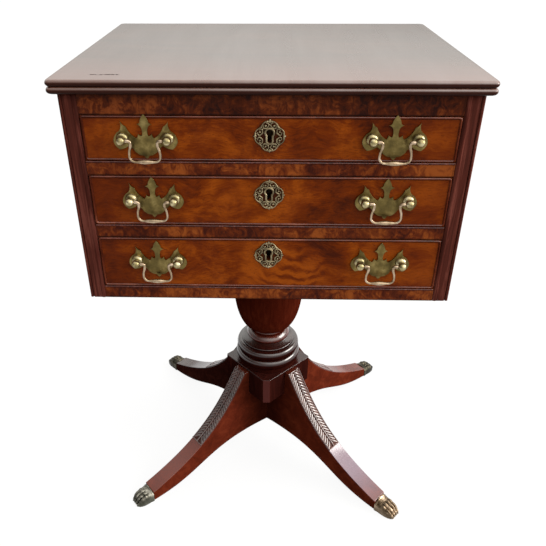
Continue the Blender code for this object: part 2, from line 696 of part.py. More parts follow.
def post_rings(x):
    """Rings of one handle post, turned about the line that runs out of the drawer front."""
    plate_front = -COCKBEAD_PROJECTION - 2 * CLEARANCE - PLATE_THICKNESS
    profile = [
        (SHANK_RADIUS, FRONT_THICKNESS - CLEARANCE), (SHANK_RADIUS, -CLEARANCE), (PLATE_BOSS_RADIUS, -CLEARANCE),
        (PLATE_BOSS_RADIUS, plate_front + PLATE_THICKNESS / 2), (DOME_RADIUS, plate_front + PLATE_THICKNESS / 2),
    ]
    steps = 3
    for i in range(steps + 1):
        angle = math.pi / 2 * i / steps
        swell = (DOME_RADIUS - POST_NECK_RADIUS) * math.cos(angle)
        profile.append((POST_NECK_RADIUS + swell, plate_front - DOME_HEIGHT * math.sin(angle)))
    root = math.asin(POST_NECK_RADIUS / POST_BALL_RADIUS)
    steps = 6
    for i in range(steps):
        angle = root + (math.pi - root) * i / steps
        profile.append((POST_BALL_RADIUS * math.sin(angle), -PIVOT_REACH + POST_BALL_RADIUS * math.cos(angle)))
    sides = 10
    return [[(x + a, y, b) for a, b in circle(radius, sides)] for radius, y in profile]


def bail_rings():
    """Rings of a bail about its pivot line: pins, knuckles, arms and a grip that swells in the middle."""
    pin_end = POST_SPACING / 2 - POST_BALL_RADIUS + BAIL_PIN_DEPTH
    pin_start = POST_SPACING / 2 - POST_BALL_RADIUS - CLEARANCE
    shoulder, grip = BAIL_SHOULDER_HALF_WIDTH, BAIL_GRIP_HALF_WIDTH
    bend, corner = BAIL_KNUCKLE_RADIUS * 1.2, BAIL_CORNER_RADIUS
    half = [
        (pin_end, 0.0, BAIL_PIN_RADIUS), (pin_start, 0.0, BAIL_PIN_RADIUS),
        (pin_start, 0.0, BAIL_KNUCKLE_RADIUS), (shoulder + bend, 0.0, BAIL_KNUCKLE_RADIUS),
    ]
    half += [(x, z, BAIL_KNUCKLE_RADIUS) for x, z in arc((shoulder + bend, -bend), bend, 120, 180, 2)]
    half += [((shoulder + grip) / 2, -BAIL_DROP * 0.42, BAIL_ARM_RADIUS)]
    middle = (grip - corner, corner - BAIL_DROP)
    half += [(x, z, BAIL_ARM_RADIUS) for x, z in arc(middle, corner, 0, -90, 3)]
    half += [(grip * 0.35, -BAIL_DROP, BAIL_GRIP_RADIUS)]
    path = half + [(-x, z, radius) for x, z, radius in reversed(half)]
    sides = 7
    rings = []
    for i, (x, z, radius) in enumerate(path):
        before, after = path[max(i - 1, 0)], path[min(i + 1, len(path) - 1)]
        along = (after[0] - before[0], after[1] - before[1])
        length = math.hypot(*along)
        normal = (-along[1] / length, along[0] / length)
        rings.append([(x + a * normal[0], b, z + a * normal[1]) for a, b in circle(radius, sides)])
    return rings


def build_handles(name, size, frame, front, inset, rise, brass):
    """Two handles: a fretted plate with ball posts, and a bail that hangs between them."""
    plate_back = -COCKBEAD_PROJECTION - 2 * CLEARANCE
    height = size.height / 2 + rise
    socket_end = POST_SPACING / 2 - POST_BALL_RADIUS + BAIL_PIN_DEPTH + CLEARANCE
    posts = (-POST_SPACING / 2, POST_SPACING / 2)
    for hand, side in (("left", -1), ("right", 1)):
        seat = (side * (DRAWER_WIDTH / 2 - inset), 0.0, height)
        shape = prism(plate_outline(), "Y", plate_back - PLATE_THICKNESS, plate_back)
        plate = place(f"{name}_{hand}_plate", shape, brass, frame, seat)
        post_tool = cutter(f"{name}_{hand}_posts", solids(*[post_rings(x) for x in posts]), frame, seat)
        combine(plate, post_tool, "UNION")
        outline = circle(BAIL_PIN_RADIUS + CLEARANCE, 8)
        sockets = prism([(a - PIVOT_REACH, b) for a, b in outline], "X", -socket_end, socket_end)
        combine(plate, cutter(f"{name}_{hand}_pin_sockets", sockets, frame, seat))
        holes = [
            prism_rings(circle(SHANK_RADIUS + CLEARANCE, 10, (x, 0.0)), "Y", -CUT_PAST, FRONT_THICKNESS + CUT_PAST)
            for x in posts
        ]
        combine(front, cutter(f"{name}_{hand}_shank_holes", solids(*holes), frame, seat))
        pivot = (seat[0], -PIVOT_REACH, height)
        place(f"{name}_{hand}_bail", solids(bail_rings()), brass, frame, pivot, smooth=True)


def build_drawers(figured, lining, brass, bronze):
    """The three drawers, each in a frame that slides out along -Y."""
    sizes = zip(DRAWER_NAMES, FRONT_HEIGHTS, FRONT_BOTTOMS, HANDLE_INSETS, HANDLE_RISES)
    for label, height, bottom, inset, rise in sizes:
        name = f"{label}_drawer"
        frame = empty(name, (0.0, CASE_FRONT, bottom))
        size = DrawerSizes(height)
        front = build_drawer_front(name, size, frame, figured)
        build_drawer_box(name, size, frame, front, lining)
        build_lock(name, size, frame, front, brass, bronze)
        build_handles(name, size, frame, front, inset, rise, brass)


def column_profile():
    """Radius and height of the turned column, from its foot tenon up to its top tenon."""
    z = COLUMN_BOTTOM
    profile = [(COLUMN_TENON_RADIUS, z - COLUMN_FOOT_TENON), (COLUMN_TENON_RADIUS, z), (DRUM_RADIUS, z)]
    z += DRUM_HEIGHT
    profile += bead(DRUM_RADIUS, LOWER_TORUS_BULGE, z, z + LOWER_TORUS_HEIGHT)
    z += LOWER_TORUS_HEIGHT
    waist = UPPER_TORUS_RADIUS - UPPER_TORUS_BULGE
    profile += bead(waist, UPPER_TORUS_BULGE, z, z + UPPER_TORUS_HEIGHT)
    z += UPPER_TORUS_HEIGHT
    profile += [(FILLET_RADIUS, z)]
    z += FILLET_HEIGHT
    profile += [(FILLET_RADIUS, z)]
    seat = CUSHION_RADIUS - CUSHION_BULGE
    for i in range(1, 4):
        angle = math.pi / 2 * i / 4
        reach = FILLET_RADIUS - (FILLET_RADIUS - seat) * math.sin(angle)
        profile.append((reach, z + COVE_HEIGHT * (1 - math.cos(angle))))
    z += COVE_HEIGHT
    profile += bead(seat, CUSHION_BULGE, z, z + CUSHION_HEIGHT, 4)
    z += CUSHION_HEIGHT
    profile += bead(NECK_RADIUS, NECK_RING_BULGE, z, z + NECK_RING_HEIGHT, 4)
    z += NECK_RING_HEIGHT
    steps = 7
    for i in range(1, steps):
        angle = math.pi / 2 * (1 - i / steps)
        swell = (URN_RADIUS - NECK_RADIUS) * math.cos(angle) ** URN_BOWL_POWER
        profile.append((NECK_RADIUS + swell, z + URN_BOWL_HEIGHT * (1 - math.sin(angle))))
    z += URN_BOWL_HEIGHT
    for i in range(5):
        angle = math.pi / 2 * i / 5
        swell = (URN_RADIUS - NECK_RADIUS) * math.cos(angle)
        profile.append((NECK_RADIUS + swell, z + URN_SHOULDER_HEIGHT * math.sin(angle)))
    z += URN_SHOULDER_HEIGHT
    profile += bead(NECK_RADIUS, NECK_RING_BULGE, z, z + NECK_RING_HEIGHT, 4)
    z += NECK_RING_HEIGHT + COLUMN_NECK_HEIGHT
    profile += [(NECK_RADIUS, z)]
    for i in range(1, 4):
        angle = math.pi / 2 * i / 3
        spread = (CAP_RADIUS - NECK_RADIUS) * (1 - math.cos(angle))
        profile.append((NECK_RADIUS + spread, z + COLUMN_FLARE_HEIGHT * math.sin(angle)))
    top = COLUMN_TOP
    profile += [(CAP_RADIUS, top), (COLUMN_TENON_RADIUS, top), (COLUMN_TENON_RADIUS, top + COLUMN_TOP_TENON)]
    return profile


def build_column(wood):
    """Bearer under the case, the turned column, and the block that the legs are keyed into."""
    low = (-BEARER_WIDTH / 2, -BEARER_DEPTH / 2)
    rings = []
    for inset, z in ((BEARER_CHAMFER, 0.0), (0.0, BEARER_CHAMFER), (0.0, BEARER_THICKNESS)):
        x, y = -low[0] - inset, -low[1] - inset
        rings.append([(px, py, BEARER_BOTTOM + z) for px, py in ((-x, -y), (x, -y), (x, y), (-x, y))])
    bearer = place("pedestal_bearer", solids(rings), wood)
    bore = circle(COLUMN_TENON_RADIUS + CLEARANCE, COLUMN_SIDES)
    bearer_bore = prism(bore, "Z", BEARER_BOTTOM - CUT_PAST, BEARER_BOTTOM + COLUMN_TOP_TENON)
    combine(bearer, cutter("bearer_bore", bearer_bore))
    place("column", turned(column_profile(), COLUMN_SIDES), wood, smooth=True)

    corner, cut = BLOCK_HALF_DIAGONAL, BLOCK_CHAMFER
    outline = []
    for turn in range(4):
        along = (math.cos(turn * math.pi / 2), math.sin(turn * math.pi / 2))
        for way in (-1, 1):
            reach = corner - cut
            outline.append((along[0] * reach - along[1] * cut * way, along[1] * reach + along[0] * cut * way))
    block = place("base_block", prism(outline, "Z", BLOCK_BOTTOM, BLOCK_TOP), wood, turn=BASE_TURN)
    foot = BLOCK_TOP - COLUMN_FOOT_TENON - CLEARANCE
    combine(block, cutter("block_bore", prism(bore, "Z", foot, BLOCK_TOP + CUT_PAST)))
    return block


def leg_half_thickness(distance):
    """Half the thickness of a leg, which tapers evenly from the block to the toe."""
    share = (distance - BLOCK_HALF_WIDTH) / (LEG_END - BLOCK_HALF_WIDTH)
    return (LEG_ROOT_THICKNESS + share * (LEG_TOE_THICKNESS - LEG_ROOT_THICKNESS)) / 2


def leg_root(angle, way):
    """Where one side of a leg ends under the block, just short of the next leg."""
    x, y = math.cos(angle), math.sin(angle)
    half = way * leg_half_thickness(0.0)
    ends = (half * math.copysign(y, x * y) / abs(x), -half * math.copysign(x, x * y) / abs(y))
    return max(ends) + 2 * CLEARANCE


def leg_outline(angle, skew, way):
    """One flat side of a leg: over the hip and down to the toe, then back under to the root."""
    lean = way * math.tan(skew) * LEG_ROOT_THICKNESS / 2
    shoulder = (BLOCK_HALF_WIDTH + CLEARANCE) / math.cos(skew) + lean
    hip, toe = (LEG_HIP, LEG_TOP), (LEG_END, LEG_END_HEIGHT)
    hip_handle = (
        hip[0] + LEG_HIP_HANDLE * math.cos(LEG_HIP_SLOPE), hip[1] - LEG_HIP_HANDLE * math.sin(LEG_HIP_SLOPE))
    toe_handle = (
        toe[0] - LEG_TOE_HANDLE * math.cos(LEG_TOE_SLOPE), toe[1] + LEG_TOE_HANDLE * math.sin(LEG_TOE_SLOPE))
    heel, root = (LEG_END, LEG_FLOOR_GAP), (leg_root(angle, way), LEG_ARCH)
    heel_handle = (
        heel[0] - LEG_HEEL_HANDLE * math.cos(LEG_HEEL_SLOPE), heel[1] + LEG_HEEL_HANDLE * math.sin(LEG_HEEL_SLOPE))
    root_handle = (
        root[0] + LEG_ARCH_HANDLE * math.cos(LEG_ARCH_SLOPE), root[1] + LEG_ARCH_HANDLE * math.sin(LEG_ARCH_SLOPE))
    under_block = BLOCK_BOTTOM - CLEARANCE
    points = [(root[0], under_block), (shoulder, under_block), (shoulder, LEG_TOP)]
    points += bezier(hip, hip_handle, toe_handle, toe, LEG_CURVE_STEPS)
    points += bezier(heel, heel_handle, root_handle, root, LEG_CURVE_STEPS)
    return points


def leg_key_rings(margin, foot):
    """Dovetail key that holds a leg in the block, grown by a margin and started at a given height."""
    inner = BLOCK_HALF_WIDTH - LEG_KEY_DEPTH - margin
    outer = BLOCK_HALF_WIDTH + LEG_KEY_DEPTH
    wide, neck = LEG_KEY_WIDTH / 2 + margin, LEG_KEY_NECK / 2 + margin
    outline = [(inner, -wide), (inner, wide), (outer, neck), (outer, -neck)]
    return prism_rings(outline, "Z", foot, BLOCK_TOP - LEG_KEY_STOP + margin)


def paw_rings():
    """Rings of a paw-shaped toe cap, from its cuff to the tips of its toes."""
    half = LEG_TOE_THICKNESS / 2 + CUFF_MARGIN
    height = LEG_END_HEIGHT + CUFF_MARGIN
    # share of the length, of the cuff's half width and of its height, and how far the toes stand out
    stations = (
        (0.00, 1.00, 1.00, 0.0), (0.20, 1.00, 1.00, 0.0), (0.24, 0.90, 0.90, 0.1), (0.42, 1.02, 0.98, 0.6),
        (0.62, 1.08, 0.94, 1.0), (0.80, 1.06, 0.74, 1.0), (0.93, 0.98, 0.46, 1.0), (1.00, 0.86, 0.20, 1.0),
    )
    start = LEG_END + CLEARANCE
    length = TOE_REACH - PAW_TOE_REACH - start
    across = 3 * PAW_TOES
    rings = []
    for along, wide, tall, relief in stations:
        ring = []
        for i in range(across + 1):
            v = 2 * i / across - 1
            scallop = relief * abs(math.sin(math.pi * PAW_TOES * (v + 1) / 2))
            crown = tall * height * (1 - PAW_CROWN_FALL * abs(v) ** 3) - PAW_TOE_RELIEF * (relief - scallop)
            ring.append((start + along * (length + PAW_TOE_REACH * scallop), v * wide * half, max(crown, CUFF_MARGIN)))
        ring.append((ring[-1][0], wide * half, 0.0))
        ring.append((ring[0][0], -wide * half, 0.0))
        rings.append(ring)
    return rings


def build_legs(block, wood, brass):
    """Four sabre legs, keyed into the block and shod with brass paws."""
    corners = (("front_left", -1, -1), ("front_right", 1, -1), ("back_left", -1, 1), ("back_right", 1, 1))
    for name, x, y in corners:
        angle = math.atan2(y * math.sin(LEG_ANGLE), x * math.cos(LEG_ANGLE))
        face = math.atan2(y, x)
        skew = angle - face
        turn = angle + BASE_TURN
        sides = []
        for way in (-1, 1):
            sides.append([(s, way * leg_half_thickness(s), z) for s, z in leg_outline(angle, skew, way)])
        leg = place(f"{name}_leg", solids(sides), wood, turn=turn, smooth=True)
        key = cutter(f"{name}_key", solids(leg_key_rings(0.0, BLOCK_BOTTOM - LEG_KEY_DEPTH)), turn=turn)
        combine(leg, key, "UNION")
        seat = solids(leg_key_rings(CLEARANCE, BLOCK_BOTTOM - CUT_PAST))
        combine(block, cutter(f"{name}_key_seat", seat, turn=turn))
        half = LEG_TOE_THICKNESS / 2 - STUB_MARGIN
        low = (LEG_END - STUB_LENGTH, -half, LEG_FLOOR_GAP + STUB_MARGIN)
        high = (LEG_END + STUB_LENGTH, half, LEG_END_HEIGHT - STUB_MARGIN)
        combine(leg, cutter(f"{name}_stub", box(low, high), turn=turn), "UNION")
        cap = place(f"{name}_toe_cap", solids(paw_rings()), brass, turn=turn, smooth=True)
        combine(cap, cutter(f"{name}_socket", box(*grown(low, high, CLEARANCE)), turn=turn))


def main():
    """Build the whole table."""
    clear_scene()
    wood = finish("mahogany", (0.075, 0.018, 0.010), 0.28)
    figured = finish("figured_mahogany", (0.190, 0.050, 0.012), 0.25)
    lining = finish("drawer_lining", (0.330, 0.190, 0.090), 0.65)
    brass = finish("aged_brass", (0.300, 0.230, 0.090), 0.38, 1.0)
    bronze = finish("escutcheon_bronze", (0.310, 0.270, 0.190), 0.40, 1.0)
    build_top(wood)
    build_sides(wood)
    build_front_frame(wood, figured)
    build_inner_boards(lining)
    build_drawers(figured, lining, brass, bronze)
    block = build_column(wood)
    build_legs(block, wood, brass)


main()
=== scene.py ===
"""Looks of the work table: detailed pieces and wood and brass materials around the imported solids."""

from math import acos, asin, atan2, copysign, cos, degrees, exp, hypot, pi, radians, sin, sqrt, tan

import bmesh
import bpy
from mathutils import Matrix, Vector


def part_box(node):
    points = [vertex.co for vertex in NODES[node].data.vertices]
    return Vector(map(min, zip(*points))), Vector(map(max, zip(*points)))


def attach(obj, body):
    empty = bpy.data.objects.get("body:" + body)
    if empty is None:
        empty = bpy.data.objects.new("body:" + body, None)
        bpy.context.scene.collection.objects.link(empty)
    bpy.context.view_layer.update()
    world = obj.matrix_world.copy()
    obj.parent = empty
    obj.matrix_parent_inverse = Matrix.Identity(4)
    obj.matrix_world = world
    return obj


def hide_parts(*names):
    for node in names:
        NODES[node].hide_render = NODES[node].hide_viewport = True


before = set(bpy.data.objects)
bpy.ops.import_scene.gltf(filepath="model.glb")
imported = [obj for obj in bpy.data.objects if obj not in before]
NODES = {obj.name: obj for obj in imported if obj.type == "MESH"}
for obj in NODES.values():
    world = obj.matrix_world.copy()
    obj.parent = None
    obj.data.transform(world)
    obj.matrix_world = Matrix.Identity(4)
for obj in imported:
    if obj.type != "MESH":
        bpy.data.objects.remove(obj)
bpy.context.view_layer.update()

# Camera, fitted to the photograph's edges
IMAGE_SIZE = 546
FOCAL_PIXELS = 601.3
SENSOR_WIDTH = 36.0
MIDDLE_PIXEL = 255.3
MIDDLE_DROP = 0.4
CAMERA_PLACE = Vector((0.0013, -0.8938, 0.9014))
CAMERA_PITCH = radians(30.942)
CAMERA_YAW = radians(-1.555)
CAMERA_ROLL = radians(0.187)

# Top and case, in metres like all sizes that name no other unit
TABLE_HEIGHT = 0.740
TOP_WIDTH = 0.516
TOP_DEPTH = 0.409
TOP_THICKNESS = 0.017
TOP_CORNER_RADIUS = 0.006
REED_DEPTH = 0.0035
CLEARANCE = 0.0003
CASE_FRONT = -0.1945

# Each front's lower edge and height, its handles' distance from the middle and their rise above mid-height
DRAWERS = {
    "upper_drawer": (0.6415, 0.0555, 0.1488, 0.0015),
    "middle_drawer": (0.5550, 0.0665, 0.1465, 0.0040),
    "lower_drawer": (0.4610, 0.0740, 0.1480, 0.0050),
}
DRAWER_HALF_WIDTH = 0.225
COCKBEAD_WIDTH = 0.0028
COCKBEAD_PROJECTION = 0.0008
COCKBEAD_ROUND = 0.0013
COCKBEAD_CORNER = 0.0040
# Width of a bead on the case, and how far it stands out
STILE_BEAD = (0.0052, 0.0013)
RAIL_BEAD = (0.0022, 0.0009)

# Keyholes and handles; the bails are a little narrower and hang a little lower than their solids
KEYHOLE_DROP = 0.0235
KEYHOLE_RADIUS = 0.0038
KEYHOLE_SLOT = 0.0046
KEYHOLE_HEIGHT = 0.016
POST_SPACING = 0.055
PLATE_THICKNESS = 0.0015
PLATE_BACK = -COCKBEAD_PROJECTION - 2 * CLEARANCE
DOME_RADIUS = 0.0076
DOME_HEIGHT = 0.0052
POST_FOOT_RADIUS = 0.0055
POST_NECK_RADIUS = 0.0036
POST_BALL_RADIUS = 0.0055
PIVOT_REACH = 0.0145
BAIL_PIN_RADIUS = 0.0015
BAIL_PIN_DEPTH = 0.0030
BAIL_KNUCKLE_RADIUS = 0.0023
BAIL_BEND = 0.0030
BAIL_ARM_RADIUS = 0.0015
BAIL_GRIP_RADIUS = 0.0029
BAIL_SHOULDER = 0.0160
BAIL_GRIP = 0.0186
BAIL_DROP = 0.0258
BAIL_CORNER = 0.0070

# Turned column, from the block up
COLUMN_SIDES = 112
TENON_RADIUS = 0.017
DRUM_RADIUS, DRUM_HEIGHT = 0.0525, 0.0090
LOWER_RING_BULGE, LOWER_RING_HEIGHT = 0.0059, 0.0185
WAIST_RADIUS = 0.0505
UPPER_RING_BULGE, UPPER_RING_HEIGHT = 0.0055, 0.0175
FILLET_RADIUS, FILLET_BULGE, FILLET_HEIGHT = 0.0462, 0.0012, 0.0035
COVE_DEPTH, COVE_HEIGHT = 0.0112, 0.0072
SEAT_RADIUS, SEAT_HEIGHT = 0.0345, 0.0190
NECK_RADIUS, NECK_HEIGHT = 0.0280, 0.018
NECK_RING_BULGE, NECK_RING_HEIGHT = 0.0032, 0.0060
URN_SWELL, URN_BOWL_HEIGHT, URN_DOME_HEIGHT = 0.0322, 0.0836, 0.0264
FLARE_SPREAD = 0.020
CAP_RADIUS, CAP_HEIGHT = 0.048, 0.009
BEARER_BOTTOM = 0.4277

# Block and legs
BLOCK_TOP = 0.186
BLOCK_BOTTOM = 0.133
BLOCK_HALF_WIDTH = 0.0785 / sqrt(2)
BLOCK_CANT = 0.0062
BLOCK_CHAMFER = 0.0020
BASE_TURN = radians(-1.5)
LEG_ANGLE = radians(41.2)
LEG_TOP = 0.184
LEG_END = 0.271
LEG_END_HEIGHT = 0.0205
LEG_ROOT_THICKNESS = 0.028
LEG_TOE_THICKNESS = 0.029
LEG_ARCH = 0.0425
LEG_HEEL = 0.0008
# How far, and at which slope, each end of a leg's upper and lower curve sets out
HIP_LEAD = (0.080, radians(-58))
TOE_LEAD = (0.130, radians(163))
HEEL_LEAD = (0.110, radians(179.5))
ARCH_LEAD = (0.150, radians(6))
TOE_REACH = 0.308
TOE_ROUND = 0.0030
SHORT_PAW = 0.005
CARVED_LENGTH = 0.156

# Distances from the axis over which the legs' upward faces take a colour of painted light and lose it near
# the toes
LIT_TOP_START = (0.100, 0.160)
LIT_TOP_END = (0.215, 0.275)
# Painted shade round the axis, darkest inside the core
AXIS_SHADE_CORE = 0.030
LEG_AXIS_SHADE = 0.095

# Scratch in the top: its middle, how wide its line is and how far it runs to each side, with soft ends
SCRATCH_X, SCRATCH_Y = -0.1948, -0.1768
SCRATCH_WIDTH = (0.0012, 0.0024)
SCRATCH_RUN = (0.0165, 0.0195)
# Depths between which the painted light on the top's front, warmer and lighter, fades out
TOP_FRONT = (-0.21, -0.08)

# Floor, sky and window
FLOOR_REACH = 14.0
FLOOR_DROP = 0.0002
SKY_STRENGTH = 2.15
WINDOW_PLACE = Vector((2.4, -0.2, 1.35))
WINDOW_TARGET = Vector((0.0, 0.0, 0.3))
WINDOW_SIZE = (1.6, 1.1)
WINDOW_POWER = 60.0


def linear(colour):
    """Linear colour from the 0 to 255 values of a screen; a colour with its alpha is linear already."""
    if len(colour) == 4:
        return colour
    values = []
    for part in colour:
        part /= 255
        values.append(part / 12.92 if part <= 0.04045 else ((part + 0.055) / 1.055) ** 2.4)
    return (*values, 1.0)


class Graph:
    """A node tree and short ways to wire it."""

    def __init__(self, tree):
        self.tree = tree

    def node(self, kind, inputs=None, **settings):
        """A new node with some of its settings and inputs."""
        made = self.tree.nodes.new(f"ShaderNode{kind}")
        for key, value in settings.items():
            setattr(made, key, value)
        for key, value in (inputs or {}).items():
            self.feed(made.inputs[key], value)
        return made

    def feed(self, socket, value):
        """Link an output to a socket, or set its value."""
        if hasattr(value, "is_linked"):
            self.tree.links.new(value, socket)
        elif socket.type == "RGBA":
            socket.default_value = linear(value)
        else:
            socket.default_value = value

    def sum(self, operation, first, second=0.0):
        """One arithmetic step."""
        return self.node("Math", {0: first, 1: second}, operation=operation).outputs["Value"]

    def times(self, product, *values):
        """Values multiplied."""
        for value in values:
            product = self.sum("MULTIPLY", product, value)
        return product

    def weigh(self, *parts):
        """Values added up, each by its weight."""
        total, *terms = [self.times(value, weight) for value, weight in parts]
        for term in terms:
            total = self.sum("ADD", total, term)
        return total

    def ramp(self, value, *stops):
        """Colours along a value."""
        made = self.node("ValToRGB", {"Fac": value})
        elements = made.color_ramp.elements
        while len(elements) < len(stops):
            elements.new(0.5)
        for element, (place, colour) in zip(elements, stops):
            element.position = place
            element.color = linear(colour)
        return made.outputs["Color"]

    def axes(self, source):
        """The three coordinates of a vector as separate values."""
        return self.node("SeparateXYZ", {"Vector": source}).outputs


class Paint(Graph):
    """A Principled material and short ways to paint it."""

    def __init__(self, name, **sockets):
        self.material = bpy.data.materials.new(name)
        self.material.use_nodes = True
        super().__init__(self.material.node_tree)
        self.shader = self.tree.nodes["Principled BSDF"]
        self.coords = self.node("TexCoord").outputs["Object"]
        self.colour = None
        self.set(**sockets)

    def set(self, **sockets):
        """Feed sockets of the shader."""
        for key, value in sockets.items():
            self.feed(self.shader.inputs[key.replace("_", " ")], value)
        return self.material

    def done(self, rough):
        """The material, with the paint's own colour and a roughness."""
        return self.set(Base_Color=self.colour, Roughness=rough)

    def place(self, scale=(1, 1, 1), shift=(0, 0, 0), turn=(0, 0, 0), source=None):
        """The object's own coordinates, stretched, turned and shifted."""
        inputs = {"Vector": source or self.coords, "Scale": scale, "Rotation": turn, "Location": shift}
        return self.node("Mapping", inputs).outputs["Vector"]

    def noise(self, vector, scale, detail=3.0, rough=0.5, warp=0.0, output="Fac"):
        """Soft noise from 0 to 1."""
        inputs = {"Vector": vector, "Scale": scale, "Detail": detail, "Roughness": rough, "Distortion": warp}
        return self.node("TexNoise", inputs).outputs[output]

    def level(self, value, low, high, start=0.0, end=1.0):
        """Rescale a value, held between its ends."""
        inputs = {"Value": value, "From Min": low, "From Max": high, "To Min": start, "To Max": end}
        return self.node("MapRange", inputs, clamp=True).outputs["Result"]

    def mix(self, share, first, second):
        """Two colours mixed by a share."""
        inputs = {"Factor": share, "A": first, "B": second}
        return self.node("Mix", inputs, data_type="RGBA").outputs["Result"]

    def tint(self, share, colour, strength=1.0):
        """Lay a colour over the paint's own, by a share that a strength can lessen."""
        if strength < 1.0:
            share = self.times(share, strength)
        self.colour = self.mix(share, self.colour, colour)

    def spot(self):
        """The object's own coordinates as separate values."""
        return self.axes(self.coords)

    def normal(self):
        """How far a face looks to the right, to the back and up."""
        return self.axes(self.node("NewGeometry").outputs["Normal"])

    def hypot(self, one, other):
        """Length of the long side over two short ones."""
        return self.sum("SQRT", self.sum("ADD", self.times(one, one), self.times(other, other)))

    def upward(self, low, high):
        """A value that grows as a face turns to look up; it sets how much shine a face keeps, and masks
        painted light and shade on faces that look up or away.
        """
        return self.level(self.normal()[2], 0.08, 0.45, low, high)

    def wear_and_shade(self, edge, edge_share, hollow, hollow_share, rise=(0.53, 0.62), dip=(0.40, 0.48)):
        """Lighten the edges (wear and a painted highlight) and darken the hollows (painted shade and dirt;
        patina on brass); pointiness is a half on flat ground.
        """
        pointed = self.node("NewGeometry").outputs["Pointiness"]
        self.tint(self.level(pointed, *rise), edge, edge_share)
        self.tint(self.level(pointed, *dip, 1.0, 0.0), hollow, hollow_share)

    def uneven(self, scale, low, high):
        """A roughness that changes from place to place."""
        return self.level(self.noise(self.coords, scale), 0.3, 0.7, low, high)

    def bump(self, height, strength, distance):
        """Fine relief on the shader."""
        made = self.node("Bump", {"Height": height, "Strength": strength, "Distance": distance})
        self.set(Normal=made.outputs["Normal"])


def mahogany(name, dark, middle, light, grain=(1, 18, 18), figure=0.5, spread=0.14, rough=(0.14, 0.26),
             shine=0.5, coat=0.2, shade_below=None, relief=0.10, pitted=0.45, shaded=None, front=None, axis_shade=None,
             lit_top_colour=None):
    """Polished mahogany, its grain along the axis with the smallest stretch.

    A painted shade darkens it below a height, by a share and with a soft edge. Above the height where the
    case shades it, it has no shine. Near the column's axis a painted shade darkens it, as far out as the axis
    shade reaches. Faces that look to the front take a painted light, and faces that look up along a leg a
    colour of painted light and sheen.
    """
    paint = Paint(name, Coat_Roughness=0.10)
    streaks = paint.noise(paint.place(grain), 9.0, 6.0, 0.62, 0.8)
    broad = paint.noise(paint.coords, 7.0, 3.0, 0.55, 1.2)
    pores = paint.noise(paint.place(tuple(3 * g for g in grain)), 60.0, 2.0, 0.6)
    tone = paint.weigh((streaks, 1 - figure), (broad, figure))
    paint.colour = paint.ramp(tone, (0.5 - spread, dark), (0.5, middle), (0.5 + spread, light))
    pits = paint.level(pores, 0.56, 0.70)
    paint.tint(pits, dark, pitted)
    # Edges lighter, as wear and a painted highlight; hollows darker, as dirt and painted shade
    paint.wear_and_shade(light, 0.35, (16, 7, 6), 0.75)
    x, y, z = paint.spot()
    # Painted shade: darker below a height, by a share and with a soft edge
    if shade_below:
        height, share, edge = shade_below
        paint.tint(paint.level(z, height, height + edge, share, 0.0), (14, 7, 7))
    from_axis = paint.hypot(x, y)
    # Painted shade near the column's axis, under the case and between the legs
    if axis_shade:
        paint.tint(paint.level(from_axis, AXIS_SHADE_CORE, axis_shade, 0.72, 0.0), (12, 4, 3))
    # Faces that look to the front are lightened, a painted light
    if front:
        paint.tint(paint.level(paint.normal()[1], -0.98, -0.90, 0.85, 0.0), front)
    kept = 1.0
    if shaded:
        kept = paint.level(z, shaded - 0.002, shaded, 1.0, 0.0)
    # Upward faces of a leg take a colour of painted light and sheen, fading out near the toe
    if lit_top_colour:
        begun, ended = paint.level(from_axis, *LIT_TOP_START), paint.level(from_axis, *LIT_TOP_END, 1.0, 0.1)
        paint.tint(paint.times(paint.upward(0.0, 0.8), begun, ended), lit_top_colour)
        kept = paint.level(from_axis, *LIT_TOP_END, 1.0, 0.7)
    paint.bump(paint.weigh((pits, -0.6), (streaks, 0.4)), relief, 0.0005)
    gloss, lacquer = paint.upward(0.0, shine), paint.upward(0.0, coat)
    paint.set(Specular_IOR_Level=paint.times(gloss, kept), Coat_Weight=paint.times(lacquer, kept))
    return paint.done(paint.uneven(22.0, *rough))


def leg_mahogany(name, tones, shine, lit_top_colour=None):
    """Mahogany of a leg, darkened near the block by painted shade."""
    return mahogany(name, *tones, (6, 6, 6), 0.3, shine=shine, coat=0.75 * shine, relief=0.02, pitted=0.12,
                    axis_shade=LEG_AXIS_SHADE, lit_top_colour=lit_top_colour)


